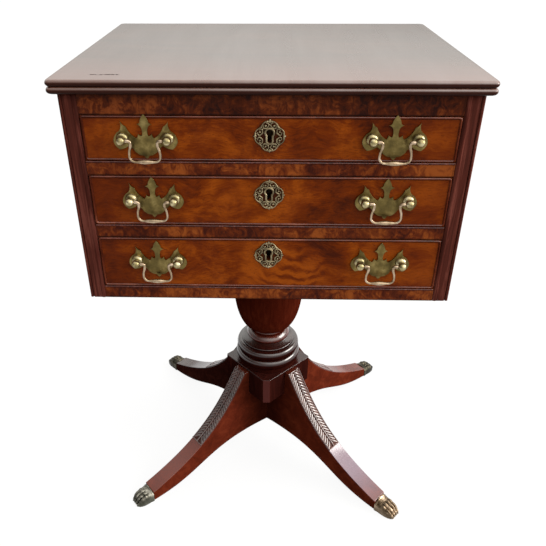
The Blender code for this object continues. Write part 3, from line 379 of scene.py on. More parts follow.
def drawer_veneer(name, low, high, shift, swirl, dark, middle, light):
    """Figured mahogany of a drawer front: cloudy, with short flecks and a swirl of curved stripes."""
    paint = Paint(name, Specular_IOR_Level=0.06)
    eddies = paint.noise(paint.place(shift=shift), 11.0, 4.0, output="Color")
    bend = {0: eddies, 1: (0.08, 0.0, 0.06), 2: paint.coords}
    bent = paint.node("VectorMath", bend, operation="MULTIPLY_ADD").outputs["Vector"]
    clouds = paint.noise(paint.place((0.9, 1, 1.2), shift, source=bent), 34.0, 5.0, 0.62)
    broad = paint.noise(paint.place(shift=shift), 9.0, 2.0, 0.5, 0.6)
    fine = paint.noise(paint.place((14, 1, 90), shift, source=bent), 6.0, 4.0, 0.6)
    tone = paint.weigh((clouds, 0.46), (broad, 0.34), (fine, 0.20))
    x, _, z = paint.spot()
    place, spread, strength = swirl
    between = {0: paint.coords, 1: place}
    away = paint.node("VectorMath", between, operation="DISTANCE").outputs["Value"]
    near = paint.level(away, 0.4 * spread, spread, 1.0, 0.0)
    centre = (-place[0] - 0.055, 0.0, -place[2] - 0.110)
    curves = {
        "Vector": paint.place(shift=centre, source=bent), "Scale": 26.0, "Distortion": 5.0, "Detail": 3.0,
        "Detail Scale": 1.5,
    }
    rings = paint.node("TexWave", curves, wave_type="RINGS", rings_direction="Y").outputs["Fac"]
    stripes = paint.times(paint.sum("SUBTRACT", rings, 0.45), strength)
    tone = paint.sum("ADD", tone, paint.times(near, stripes))
    paint.colour = paint.ramp(tone, (0.38, dark), (0.49, middle), (0.61, light))
    reach = paint.sum("ABSOLUTE", x)
    ends = paint.level(reach, 0.12, DRAWER_HALF_WIDTH)
    paint.tint(ends, paint.mix(tone, dark, (112, 42, 12)), 0.45)
    flecks = paint.noise(paint.place((26, 1, 150), shift), 6.0, 3.0, 0.65)
    flecks = paint.times(paint.level(flecks, 0.58, 0.68), paint.level(clouds, 0.42, 0.56))
    paint.tint(flecks, dark, 0.75)
    inset = paint.sum("MINIMUM", paint.sum("SUBTRACT", z, low), paint.sum("SUBTRACT", high, z))
    inset = paint.sum("MINIMUM", inset, paint.sum("SUBTRACT", DRAWER_HALF_WIDTH, reach))
    # Dirt and painted shade in a dark line just inside the cockbead
    dirt_and_shade = paint.level(inset, COCKBEAD_WIDTH, COCKBEAD_WIDTH + 0.0012, 1.0, 0.0)
    paint.tint(dirt_and_shade, (40, 12, 5), 0.5)
    # Dirt and painted shade round the keyhole, under the escutcheon
    from_key = paint.hypot(x, paint.sum("SUBTRACT", z, high - KEYHOLE_DROP))
    key_dirt_and_shade = paint.level(from_key, 0.0150, 0.0190, 1.0, 0.0)
    paint.tint(key_dirt_and_shade, (34, 16, 9), 0.75)
    paint.bump(fine, 0.08, 0.0005)
    return paint.done(paint.uneven(30.0, 0.24, 0.38))


def crossband(name, low, shift, dark, middle, light):
    """Mottled veneer of the rails, with its grain upright, darkened along the lower edge by dirt and painted
    shade.
    """
    paint = Paint(name, Specular_IOR_Level=0.06)
    upright = paint.noise(paint.place((30, 1, 4), shift), 4.0, 5.0, 0.62, 0.5)
    mottle = paint.noise(paint.place((1, 1, 0.8), shift), 85.0, 4.0, 0.65, 1.4)
    broad = paint.noise(paint.place(shift=shift), 14.0, 2.0, 0.5, 0.8)
    tone = paint.weigh((upright, 0.20), (mottle, 0.42), (broad, 0.38))
    paint.colour = paint.ramp(tone, (0.41, dark), (0.50, middle), (0.59, light))
    x, _, z = paint.spot()
    strips = {"W": x, "Scale": 9.0}
    seams = paint.node("TexVoronoi", strips, feature="DISTANCE_TO_EDGE", voronoi_dimensions="1D")
    joint = paint.level(seams.outputs["Distance"], 0.0, 0.010, 1.0, 0.0)
    paint.tint(joint, dark, 0.5)
    # Dirt and painted shade along the lower edge, by the gap over the drawer
    dirt_and_shade = paint.level(z, low, low + 0.0022, 1.0, 0.0)
    paint.tint(dirt_and_shade, (26, 8, 4), 0.85)
    paint.bump(upright, 0.08, 0.0005)
    return paint.done(paint.uneven(30.0, 0.24, 0.40))


def polished_top():
    """Top board: worn French polish that takes a grey sheen, with a few scratches."""
    paint = Paint("top_mahogany", Coat_Roughness=0.20)
    streaks = paint.noise(paint.place((1.2, 22, 22)), 9.0, 6.0, 0.6, 0.5)
    broad = paint.noise(paint.place((1, 2, 2)), 6.0, 3.0, 0.5, 0.8)
    tone = paint.weigh((streaks, 0.5), (broad, 0.5))
    paint.colour = paint.ramp(tone, (0.32, (50, 30, 20)), (0.5, (63, 39, 27)), (0.68, (78, 50, 36)))
    scratch = paint.noise(paint.place((6, 160, 1), turn=(0, 0, 0.12)), 7.0, 2.0, 0.5, 0.3)
    scratch = paint.level(scratch, 0.70, 0.76)
    paint.tint(scratch, (60, 30, 24), 0.35)
    # Edges lighter, as wear and a painted highlight; hollows darker, as dirt and painted shade
    paint.wear_and_shade((150, 96, 72), 0.4, (24, 10, 8), 0.7)
    x, y, _ = paint.spot()
    # Painted light: the front is warmer and lighter, fading out between the front depths
    paint.tint(paint.level(y, *TOP_FRONT, 0.8, 0.0), (97, 58, 46))
    # Painted shade on faces that do not look up, such as the reeds' sides
    paint.tint(paint.upward(0.75, 0.0), (34, 9, 8))
    # A broken scratch near the front left corner
    shaky = paint.times(paint.sum("SUBTRACT", paint.noise(paint.coords, 60.0, 2.0), 0.5), 0.004)
    off_line = paint.sum("ABSOLUTE", paint.sum("ADD", paint.sum("SUBTRACT", y, SCRATCH_Y), shaky))
    from_middle = paint.sum("ABSOLUTE", paint.sum("SUBTRACT", x, SCRATCH_X))
    gouge = paint.times(
        paint.level(off_line, *SCRATCH_WIDTH, 1.0, 0.0),
        paint.level(from_middle, *SCRATCH_RUN, 1.0, 0.0),
        paint.level(paint.noise(paint.coords, 220.0, 2.0), 0.36, 0.48),
    )
    paint.tint(gouge, (46, 28, 24))
    # The polish is rubbed in bands, on the flat and to the left, and mostly gone from edges to the right
    smear = paint.noise(paint.place((5, 0.5, 1)), 6.0, 4.0, 0.6)
    right_face, _, level_face = paint.normal()
    kept = paint.times(
        paint.level(level_face, 0.90, 0.985, 1.0, 0.62),
        paint.level(right_face, 0.15, 0.55, 1.0, 0.25),
        paint.level(smear, 0.40, 0.60, 0.84, 1.04),
        paint.level(x, -0.25, -0.05, 0.80, 1.0),
        paint.level(y, *TOP_FRONT, 1.10, 1.0),
        paint.sum("SUBTRACT", 1.0, gouge),
    )
    paint.bump(paint.weigh((streaks, 0.3), (scratch, -1.0)), 0.04, 0.0005)
    gloss, lacquer = paint.upward(0.05, 1.0), paint.upward(0.0, 0.9)
    paint.set(Specular_IOR_Level=paint.times(gloss, kept), Coat_Weight=paint.times(lacquer, kept))
    return paint.done(paint.level(smear, 0.3, 0.7, 0.26, 0.34))


def aged_brass(name, dull, bright, tarnish, rough=(0.26, 0.46), dirt_and_shade=0.8, sides=None):
    """Old cast brass: bright on high spots, dark in the hollows, with an uneven patina; faces that do not
    look up can take a painted shade.
    """
    paint = Paint(name, Metallic=1.0)
    cloud = paint.noise(paint.coords, 90.0, 4.0, 0.6)
    paint.colour = paint.ramp(cloud, (0.34, tarnish), (0.5, dull), (0.68, bright))
    paint.wear_and_shade(bright, 0.6, (34, 26, 14), dirt_and_shade, (0.51, 0.60), (0.38, 0.485))
    # Painted shade: faces that do not look up are darkened to the sides' colour
    if sides:
        paint.tint(paint.upward(0.7, 0.0), sides)
    paint.bump(paint.noise(paint.coords, 600.0), 0.06, 0.0003)
    return paint.done(paint.uneven(140.0, *rough))


def pale_boards(name, grain, shift=(0, 0, 0)):
    """Plain unpolished boards inside the case and drawers."""
    paint = Paint(name, Specular_IOR_Level=0.25)
    rings = paint.noise(paint.place(grain, shift), 8.0, 5.0, 0.6, 0.6)
    paint.colour = paint.ramp(rings, (0.32, (110, 78, 48)), (0.5, (150, 112, 72)), (0.68, (178, 142, 98)))
    stain = paint.level(paint.noise(paint.coords, 11.0), 0.45, 0.75)
    paint.tint(stain, (92, 62, 38), 0.5)
    paint.bump(rings, 0.15, 0.0006)
    return paint.done(paint.level(stain, 0.0, 1.0, 0.55, 0.75))


def loft(shape, rings, close=False):
    """Join rings of points with faces; the ends are capped, or joined to each other."""
    loops = [[shape.verts.new(point) for point in ring] for ring in rings]
    pairs = list(zip(loops, loops[1:]))
    if close:
        pairs.append((loops[-1], loops[0]))
    for low, high in pairs:
        for i in range(len(low)):
            j = (i + 1) % len(low)
            shape.faces.new((low[i], low[j], high[j], high[i]))
    if not close:
        shape.faces.new(loops[0])
        shape.faces.new(loops[-1])


def solid(rings, close=False):
    """A new shape of one loft."""
    shape = bmesh.new()
    loft(shape, rings, close)
    return shape


def put(name, data):
    """A new object in the scene."""
    made = bpy.data.objects.new(name, data)
    bpy.context.scene.collection.objects.link(made)
    return made


def piece(name, shape, material, body, nodes=(), sharp=32.0, bevel=0.0, turn=0.0, shift=(0, 0, 0)):
    """Put a shape into the scene, turned or shifted, as a piece that rides on a body."""
    spot = Matrix.Translation(shift) @ Matrix.Rotation(turn, 4, "Z")
    bmesh.ops.transform(shape, matrix=spot, verts=shape.verts)
    bmesh.ops.recalc_face_normals(shape, faces=shape.faces)
    mesh = bpy.data.meshes.new(name)
    shape.to_mesh(mesh)
    shape.free()
    mesh.materials.append(material)
    mesh.shade_smooth()
    made = put(name, mesh)
    if bevel:
        soften(made, bevel)
    else:
        mesh.set_sharp_from_angle(angle=radians(sharp))
    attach(made, body)
    if nodes:
        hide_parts(*nodes)
    return made


def soften(item, width):
    """Round an object's edges a little."""
    step = item.modifiers.new("edges", "BEVEL")
    step.width = width
    step.segments = 2
    step.limit_method = "ANGLE"
    step.angle_limit = radians(32)
    step.harden_normals = False
    even = item.modifiers.new("normals", "WEIGHTED_NORMAL")
    even.keep_sharp = False
    even.weight = 80


def shares(steps):
    """Even steps from 0 to 1."""
    return [i / steps for i in range(steps + 1)]


def circle(radius, sides):
    """Points round a circle."""
    angles = [2 * pi * t for t in shares(sides)[:-1]]
    return [(radius * cos(a), radius * sin(a)) for a in angles]


def arc(centre, radius, start, end, steps):
    """Points along an arc, angles in degrees."""
    angles = [radians(start + (end - start) * t) for t in shares(steps)]
    return [(centre[0] + radius * cos(a), centre[1] + radius * sin(a)) for a in angles]


def rounded(x, y, radius, steps):
    """Outline with four round corners, whose middles lie at x and y to each side."""
    corners = (((x, y), 0), ((-x, y), 90), ((-x, -y), 180), ((x, -y), 270))
    return [point for corner, turn in corners for point in arc(corner, radius, turn, turn + 90, steps)]


def bezier(start, first, second, end, steps):
    """Points along a cubic curve."""
    points = []
    ends = (start, first, second, end)
    for t in shares(steps):
        weights = ((1 - t) ** 3, 3 * t * (1 - t) ** 2, 3 * t * t * (1 - t), t ** 3)
        points.append(tuple(sum(w * p[k] for w, p in zip(weights, ends)) for k in (0, 1)))
    return points


def bead(radius, bulge, low, high, steps=12):
    """A half-round moulding on a profile, from low to high."""
    middle, half = (low + high) / 2, (high - low) / 2
    angles = [pi * (t - 0.5) for t in shares(steps)]
    return [(radius + bulge * cos(a), middle + half * sin(a)) for a in angles]


def quarter(radius, swell, base, rise, steps):
    """A quarter of an ellipse on a profile, from its widest place on."""
    angles = [pi / 2 * t for t in shares(steps)]
    return [(radius + swell * cos(a), base + rise * sin(a)) for a in angles]


def half_round(width, proud, steps):
    """Section of a bead: points across it and out."""
    angles = [pi * t for t in shares(steps)]
    return [(width / 2 * (1 - cos(a)), -proud * sin(a)) for a in angles]


def build_top(material):
    """Top board with two reeds round its edge."""
    low = TABLE_HEIGHT - TOP_THICKNESS + CLEARANCE
    reed = (TABLE_HEIGHT - low) / 2
    rings = []
    for start in (low, low + reed):
        for inset, z in bead(0.0, 1.0, start, start + reed, 14):
            depth = REED_DEPTH * (1 - inset)
            x = TOP_WIDTH / 2 - depth - TOP_CORNER_RADIUS
            y = TOP_DEPTH / 2 - depth - TOP_CORNER_RADIUS
            rings.append([(px, py, z) for px, py in rounded(x, y, TOP_CORNER_RADIUS, 8)])
    piece("top_board", solid(rings), material, "table", ("top_panel",))


def column_profile():
    """Radius and height of the turned column."""
    drum, waist, seat, neck = DRUM_RADIUS, WAIST_RADIUS, SEAT_RADIUS, NECK_RADIUS
    z = BLOCK_TOP + CLEARANCE
    profile = [(TENON_RADIUS, z), (drum - 0.0008, z), (drum, z + 0.0008)]
    z += DRUM_HEIGHT
    profile += [(drum, z - 0.0006), (drum - 0.0008, z)]
    profile += bead(drum - 0.0004, LOWER_RING_BULGE, z, z + LOWER_RING_HEIGHT)
    z += LOWER_RING_HEIGHT
    profile += bead(waist, UPPER_RING_BULGE, z, z + UPPER_RING_HEIGHT)
    z += UPPER_RING_HEIGHT
    profile += [(waist - 0.0018, z + 0.0002)]
    profile += bead(FILLET_RADIUS, FILLET_BULGE, z + 0.0004, z + FILLET_HEIGHT - 0.0001, 8)
    z += FILLET_HEIGHT
    profile += [(FILLET_RADIUS - COVE_DEPTH * t ** 0.85, z + COVE_HEIGHT * t) for t in shares(10)[1:]]
    for out, up in ((0.0006, 0.0073), (0.0026, 0.0075), (0.0036, 0.0082), (0.0039, 0.0094), (0.0036, 0.0110)):
        profile.append((seat + out, z + up))
    profile += bezier((seat + 0.0036, z + 0.0110), (seat + 0.0028, z + 0.0140), (seat + 0.0006, z + 0.0168),
                      (seat - 0.0022, z + 0.0188), 8)[1:]
    z += SEAT_HEIGHT
    profile.append((seat - 0.0030, z))
    profile += bead(neck, NECK_RING_BULGE, z, z + NECK_RING_HEIGHT)
    z += NECK_RING_HEIGHT + URN_BOWL_HEIGHT
    profile += quarter(neck, URN_SWELL, z, -URN_BOWL_HEIGHT, 28)[-2:0:-1]
    profile += quarter(neck, URN_SWELL, z, URN_DOME_HEIGHT, 17)[:-1]
    z += URN_DOME_HEIGHT
    profile += bead(neck, NECK_RING_BULGE, z, z + NECK_RING_HEIGHT)
    z += NECK_RING_HEIGHT + NECK_HEIGHT
    profile += [(neck, z)]
    top = BEARER_BOTTOM - CLEARANCE
    flare = top - CAP_HEIGHT - z
    profile += quarter(neck + FLARE_SPREAD, -FLARE_SPREAD, z, flare, 10)[1:]
    profile += [(CAP_RADIUS - 0.0004, top - 0.0086), (CAP_RADIUS, top - 0.0080), (CAP_RADIUS, top - 0.0006)]
    return profile + [(CAP_RADIUS - 0.0006, top), (TENON_RADIUS, top)]


def build_column(material):
    """The turned urn column."""
    shape = solid([[(x, y, z) for x, y in circle(radius, COLUMN_SIDES)] for radius, z in column_profile()])
    piece("urn_column", shape, material, "table", ("column",), sharp=40)


def build_block(material):
    """Square block under the column, with one corner to the front and a broad cant on that corner."""
    corner = BLOCK_HALF_WIDTH * sqrt(2)
    outline = []
    for x, y in ((1, 0), (0, 1), (-1, 0), (0, -1)):
        cut = BLOCK_CANT if y < 0 else BLOCK_CHAMFER
        for way in (-1, 1):
            outline.append(((corner - cut) * x - cut * way * y, (corner - cut) * y + cut * way * x))
    shape = solid([[(x, y, z) for x, y in outline] for z in (BLOCK_BOTTOM, BLOCK_TOP)])
    piece("canted_block", shape, material, "table", ("base_block",), bevel=0.0008, turn=BASE_TURN)


def leg_half(distance):
    """Half the thickness of a leg."""
    share = (distance - BLOCK_HALF_WIDTH) / (LEG_END - BLOCK_HALF_WIDTH)
    return (LEG_ROOT_THICKNESS + share * (LEG_TOE_THICKNESS - LEG_ROOT_THICKNESS)) / 2


def polar(point, reach, slope):
    """A point some way off at a slope below or above the level."""
    return point[0] + reach * cos(slope), point[1] + reach * sin(slope)


HIP = (0.064, LEG_TOP)
TOE = (LEG_END, LEG_END_HEIGHT)
LEG_UPPER = (HIP, polar(HIP, *HIP_LEAD), polar(TOE, *TOE_LEAD), TOE)


def leg_root(angle, way):
    """Where one side of a leg ends under the block, just short of the next leg."""
    x, y = cos(angle), sin(angle)
    half = way * leg_half(0.0)
    ends = (half * copysign(y, x * y) / abs(x), -half * copysign(x, x * y) / abs(y))
    return max(ends) - 0.0020


def leg_side(angle, skew, way):
    """One flat side of a leg, from under the block over the hip to the toe and back."""
    shoulder = (BLOCK_HALF_WIDTH + CLEARANCE) / cos(skew) + way * tan(skew) * LEG_ROOT_THICKNESS / 2
    root, heel = (leg_root(angle, way), LEG_ARCH), (LEG_END, LEG_HEEL)
    points = [(root[0], BLOCK_BOTTOM - CLEARANCE), (shoulder, BLOCK_BOTTOM - CLEARANCE), (shoulder, LEG_TOP)]
    points += bezier(*LEG_UPPER, 40)
    points += bezier(heel, polar(heel, *HEEL_LEAD), polar(root, *ARCH_LEAD), root, 40)
    return [(s, way * leg_half(s), z) for s, z in points]


class LegFace:
    """The upper face of a leg, measured along its curve, across it and up from it."""

    def __init__(self):
        self.points = [Vector(p) for p in bezier(*LEG_UPPER, 200)]
        self.lengths = [0.0]
        for a, b in zip(self.points, self.points[1:]):
            self.lengths.append(self.lengths[-1] + (b - a).length)

    def at(self, along, across, up):
        """A point of the leg's own frame."""
        i = 0
        while i < len(self.points) - 2 and self.lengths[i + 1] < along:
            i += 1
        a, b = self.points[i], self.points[i + 1]
        t = (along - self.lengths[i]) / (self.lengths[i + 1] - self.lengths[i])
        middle = a.lerp(b, t)
        lift = Vector((-(b - a).y, (b - a).x)).normalized()
        return (middle.x + up * lift.x, across, middle.y + up * lift.y)

    def rod(self, shape, places, across, wide, tall):
        """A round rod along the leg."""
        ring = circle(1.0, 12)
        loft(shape, [[self.at(along, across + wide * a, tall * b) for a, b in ring] for along in places])


def build_feathers(name, turn, wood, ground):
    """Carved feathers on a leg: barbs to both sides of a raised spine, over a ground darkened by dirt and
    painted shade.
    """
    face = LegFace()
    first, last, barbs = 0.001, CARVED_LENGTH, 26
    spine_foot, rim = 0.0028, LEG_ROOT_THICKNESS / 2 - 0.0010
    spine, edging = (0.0017, 0.0026), (0.0009, 0.0016)
    slant = 0.0100
    places = [first + (last - first) * t for t in shares(64)]

    section = ((-rim, -0.0004), (rim, -0.0004), (rim, 0.0003), (-rim, 0.0003))
    shape = solid([[face.at(along, across, up) for across, up in section] for along in places])
    piece(f"{name}_shaded_carving_ground", shape, ground, "table", turn=turn)

    shape = bmesh.new()
    around = [2 * pi * t for t in shares(12)[:-1]]
    face.rod(shape, places, 0.0, *spine)
    for way in (-1, 1):
        face.rod(shape, places, way * rim, *edging)
        for i in range(barbs):
            start = first - slant + (last - first + slant) * i / barbs
            if start + slant > last:
                continue
            begin = max(0.0, (first - start) / slant)
            rings = []
            for share in shares(6):
                t = begin + (1 - begin) * share
                across = spine_foot + (rim - 0.0008 - spine_foot) * t
                swell = sin(pi * (0.14 + 0.76 * t)) ** 0.5
                rings.append([
                    face.at(start + slant * t + 0.0027 * swell * cos(a),
                            way * (across - 0.0014 * cos(a)), 0.0017 * swell * sin(a + 0.4))
                    for a in around
                ])
            loft(shape, rings)
    loft(shape, [[face.at(last + 0.0010 * cos(a), across, edging[1] * sin(a)) for a in around]
                 for across in (-rim - edging[0], 0.0, rim + edging[0])])
    piece(f"{name}_feathers", shape, wood, "table", sharp=70, turn=turn)


def ease(value, table):
    """A smooth value between the rows of a table."""
    for (a, *low), (b, *high) in zip(table, table[1:]):
        if value <= b:
            t = (value - a) / (b - a)
            t = t * t * (3 - 2 * t)
            return [p + (q - p) * t for p, q in zip(low, high)]
    return list(table[-1][1:])


def build_paw(name, turn, material, short):
    """Brass paw on a leg's toe: a cuff with a raised edge, then four toes with two rows of knuckles."""
    half, height = LEG_TOE_THICKNESS / 2 + 0.0007, LEG_END_HEIGHT + 0.0007
    # Share of the length, of the half width and of the height, and how far the toes stand out
    stations = (
        (0.00, 0.98, 0.98, 0.0), (0.02, 1.01, 1.02, 0.0), (0.08, 1.01, 1.02, 0.0), (0.11, 0.98, 0.97, 0.0),
        (0.24, 0.96, 0.93, 0.2), (0.40, 0.97, 0.91, 0.9), (0.60, 0.95, 0.83, 1.0), (0.78, 0.88, 0.66, 1.0),
        (0.92, 0.76, 0.42, 1.0), (1.00, 0.62, 0.16, 1.0),
    )
    start = LEG_END + CLEARANCE
    length = TOE_REACH - TOE_ROUND - start - short
    groove, knuckle, sole = 0.0030, 0.0013, 0.0009
    rings = []
    for share in shares(56):
        wide, tall, relief = ease(share, stations)
        knuckles = exp(-((share - 0.44) / 0.07) ** 2) + exp(-((share - 0.72) / 0.07) ** 2)
        ring = []
        for across in shares(64):
            v = 2 * across - 1
            toe = abs(sin(pi * 4 * across)) ** 0.6
            crown = tall * height * (1 - 0.30 * abs(v) ** 3) - groove * relief * (1 - toe)
            crown += knuckle * relief * toe * knuckles
            out = start + share * (length + TOE_ROUND * relief * toe)
            ring.append((out, v * wide * half, max(crown, sole)))
        ring.append((ring[-1][0], wide * half, 0.0))
        ring.append((ring[0][0], -wide * half, 0.0))
        rings.append(ring)
    nodes = (f"{name}_toe_cap",)
    piece(f"{name}_paw", solid(rings), material, "table", nodes, sharp=75, turn=turn)


def build_legs(wood, carved, ground, brass):
    """Four sabre legs with their carving and paws, each of its own wood and brass."""
    corners = (("front_left", -1, -1), ("front_right", 1, -1), ("back_left", -1, 1), ("back_right", 1, 1))
    for name, x, y in corners:
        angle = atan2(y * sin(LEG_ANGLE), x * cos(LEG_ANGLE))
        skew = angle - atan2(y, x)
        turn = angle + BASE_TURN
        shape = solid([leg_side(angle, skew, way) for way in (-1, 1)])
        nodes = (f"{name}_leg",)
        piece(f"{name}_sabre_leg", shape, wood[name], "table", nodes, bevel=0.0009, turn=turn)
        build_feathers(name, turn, carved, ground)
        build_paw(name, turn, brass[name], SHORT_PAW if name == "front_left" else 0.0)


# Half a back plate down from its tip, in millimetres: each corner, the bow of the edge to it, and its steps
PLATE_FINIAL_TIP = (0.0, 28.8)
PLATE_HALF_OUTLINE = (
    (4.0, 23.0, 0.3, 3), (5.0, 19.4, 0.2, 2), (9.0, 16.7, -0.8, 4), (3.4, 10.8, -1.4, 6),
    (3.0, 6.6, 0.0, 1), (4.2, 2.4, -0.4, 4), (8.2, 5.0, -0.6, 4), (10.6, -0.4, -0.6, 4),
    (22.5, 14.0, -1.8, 6), (29.0, 21.2, -1.0, 5), (28.3, 13.8, -0.6, 4), (33.5, 6.6, -1.2, 5),
    (32.0, -14.2, 5.8, 16), (20.5, -9.2, 1.0, 5), (15.0, -14.0, 0.0, 2), (11.0, -19.0, 0.6, 4),
    (4.0, -21.8, 0.8, 5), (2.2, -24.0, -0.4, 3), (0.0, -25.8, 0.0, 1),
)


def plate_outline():
    """Whole outline of a handle's back plate."""
    right = [PLATE_FINIAL_TIP]
    for x, z, bow, steps in PLATE_HALF_OUTLINE:
        from_x, from_z = right[-1]
        run, rise = x - from_x, z - from_z
        length = hypot(run, rise)
        for t in shares(steps)[1:]:
            out = 4 * bow * t * (1 - t) / length
            right.append((from_x + t * run - out * rise, from_z + t * rise + out * run))
    whole = right + [(-x, z) for x, z in reversed(right[1:-1])]
    return [(x / 1000, z / 1000) for x, z in whole]


def post_profile():
    """Radius and distance from the drawer front of a handle post: a dome, a neck and a ball."""
    front = PLATE_BACK - PLATE_THICKNESS
    foot = front + 0.0005
    profile = [(POST_FOOT_RADIUS, -CLEARANCE), (POST_FOOT_RADIUS, foot), (DOME_RADIUS, foot)]
    profile += quarter(POST_NECK_RADIUS, DOME_RADIUS - POST_NECK_RADIUS, front, -DOME_HEIGHT, 8)
    root = asin(POST_NECK_RADIUS / POST_BALL_RADIUS)
    for t in shares(16)[:-1]:
        angle = root + (pi - root) * t
        out = -PIVOT_REACH + POST_BALL_RADIUS * cos(angle)
        profile.append((POST_BALL_RADIUS * sin(angle), out))
    return profile


def bail_path():
    """Half of a bail from its pin to the middle of its grip: across, up and radius."""
    pin_end = POST_SPACING / 2 - POST_BALL_RADIUS + BAIL_PIN_DEPTH
    pin_start = POST_SPACING / 2 - POST_BALL_RADIUS - CLEARANCE
    bend = BAIL_BEND
    half = [(pin_end, 0.0, BAIL_PIN_RADIUS), (pin_start, 0.0, BAIL_PIN_RADIUS), (pin_start, 0.0, 0.0021)]
    half += [(pin_start - 0.0006, 0.0, BAIL_KNUCKLE_RADIUS)]
    for i, (x, z) in enumerate(arc((BAIL_SHOULDER + bend, -bend), bend, 90, 180, 6)):
        half.append((x, z, BAIL_KNUCKLE_RADIUS - 0.00008 * i))
    arm = bezier((BAIL_SHOULDER, -bend), (BAIL_SHOULDER, -0.010), (BAIL_GRIP, -0.009),
                 (BAIL_GRIP, BAIL_CORNER - BAIL_DROP), 12)
    for i, (x, z) in enumerate(arm[1:]):
        half.append((x, z, BAIL_ARM_RADIUS + 0.00045 * (1 - i / 11) ** 2))
    for x, z in arc((BAIL_GRIP - BAIL_CORNER, BAIL_CORNER - BAIL_DROP), BAIL_CORNER, 0, -90, 8)[1:]:
        half.append((x, z, BAIL_ARM_RADIUS))
    start = BAIL_GRIP - BAIL_CORNER
    for t in shares(12)[1:]:
        swell = sin(pi * t / 2) ** 1.5
        radius = BAIL_ARM_RADIUS + (BAIL_GRIP_RADIUS - BAIL_ARM_RADIUS) * swell
        half.append((start * (1 - t), -BAIL_DROP, radius))
    return half


def build_handle(drawer, hand, centre, brass, polished, bright):
    """One handle: the fretted plate with its posts, and the bail."""
    outline = plate_outline()
    shape = solid([[(x, y, z) for x, z in outline] for y in (PLATE_BACK, PLATE_BACK - PLATE_THICKNESS)])
    name = f"{drawer}_{hand}_fretted_plate"
    plate = piece(name, shape, brass, drawer, bevel=0.0005, shift=centre)
    shape = bmesh.new()
    for side in (-1, 1):
        loft(shape, [[(side * POST_SPACING / 2 + a, y, b) for a, b in circle(radius, 32)]
                     for radius, y in post_profile()])
    piece(f"{drawer}_{hand}_posts", shape, polished, drawer, sharp=50, shift=centre)
    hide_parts(f"{drawer}_{hand}_plate")

    shape = bmesh.new()
    half = bail_path()
    path = half + [(-x, z, radius) for x, z, radius in reversed(half[:-1])]
    tube(shape, [(x, -PIVOT_REACH, z) for x, z, _ in path], [radius for *_, radius in path], 18)
    name = f"{drawer}_{hand}_bail"
    piece(f"{name}_handle", shape, bright, name, (name,), sharp=60, shift=centre)


def tube(shape, path, radii, sides=10):
    """A round bar along points of the front plane: across, out and up."""
    rings = []
    for i, (point, radius) in enumerate(zip(path, radii)):
        before, after = path[max(i - 1, 0)], path[min(i + 1, len(path) - 1)]
        along = Vector((after[0] - before[0], 0, after[2] - before[2])).normalized()
        across = Vector((-along.z, 0, along.x))
        rings.append([(point[0] + a * across.x, point[1] - b, point[2] + a * across.z)
                      for a, b in circle(radius, sides)])
    loft(shape, rings)


def knob(shape, centre, size, sides=10):
    """A small rounded boss: half sizes across, out and up."""
    rings = []
    for t in shares(sides)[1:-1]:
        angle = pi * t
        z = centre[2] + size[2] * cos(angle)
        rings.append([(centre[0] + size[0] * a, centre[1] - size[1] * b, z)
                      for a, b in circle(sin(angle), sides)])
    loft(shape, rings)


def keyhole_outline(margin):
    """Keyhole about its own middle, grown by a margin."""
    radius, half_slot = KEYHOLE_RADIUS + margin, KEYHOLE_SLOT / 2 + margin
    head = KEYHOLE_HEIGHT / 2 - KEYHOLE_RADIUS
    foot = -KEYHOLE_HEIGHT / 2 + KEYHOLE_SLOT / 2
    dip = degrees(acos(min(half_slot / radius, 1.0)))
    return arc((0.0, head), radius, -dip, 180 + dip, 20) + arc((0.0, foot), half_slot, 180, 360, 10)


def build_escutcheon(drawer, centre, bronze):
    """Pierced escutcheon: a raised frame round the keyhole inside a ring of scrolls and leaves."""
    shape = bmesh.new()
    steps = ((0.0, -0.0003), (0.0, -0.0022), (0.0006, -0.0030), (0.0014, -0.0034), (0.0024, -0.0028),
             (0.0031, -0.0016), (0.0031, -0.0003))
    loft(shape, [[(x, y, z) for x, z in keyhole_outline(grow)] for grow, y in steps], close=True)
    rim = 0.0168
    scrolls = 8

    def drawn_in(angle):
        return 1 - 0.13 * sin(2 * angle) ** 2

    for i in range(scrolls):
        first = 2 * pi * i / scrolls
        path = []
        for t in shares(16):
            angle = first + 2 * pi / scrolls * (0.02 + 0.96 * t)
            reach = (rim + 0.0016 * sin(pi * t)) * drawn_in(angle)
            path.append((reach * sin(angle), -0.0016, reach * 1.03 * cos(angle)))
        tube(shape, path, [0.0008 + 0.0006 * (2 * t - 1) ** 2 for t in shares(16)])
    for i in range(scrolls):
        middle = 2 * pi * (i + 0.5) / scrolls
        for way in (-1, 1):
            path = []
            for t in shares(12):
                reach = 0.0095 + 0.0068 * t
                angle = middle + way * (0.26 * sin(pi * t) + 0.10 * t)
                reach *= 1 - t * (1 - drawn_in(angle))
                path.append((reach * sin(angle) * 0.96, -0.0015, reach * 1.06 * cos(angle)))
            tube(shape, path, [0.0011 - 0.0005 * t for t in shares(12)], 8)
        knob(shape, (0.0128 * sin(middle), -0.0018, 0.0136 * cos(middle)), (0.0014, 0.0014, 0.0014))
    for end, reach in ((1, 0.0186), (-1, 0.0180)):
        for offset, size in ((0.0, 0.0021), (0.0030, 0.0016), (-0.0030, 0.0016)):
            knob(shape, (offset, -0.0017, end * (reach - abs(offset) * 0.35)), (size * 0.75, 0.0013, size))
    for side in (-1, 1):
        for offset, size in ((0.0, 0.0019), (0.0030, 0.0015), (-0.0030, 0.0015)):
            knob(shape, (side * (0.0178 - abs(offset) * 0.30), -0.0016, offset), (size, 0.0013, size * 0.7))
    name = f"{drawer}_scrolled_escutcheon"
    nodes = (f"{drawer}_escutcheon",)
    piece(name, shape, bronze, drawer, nodes, sharp=60, shift=centre)


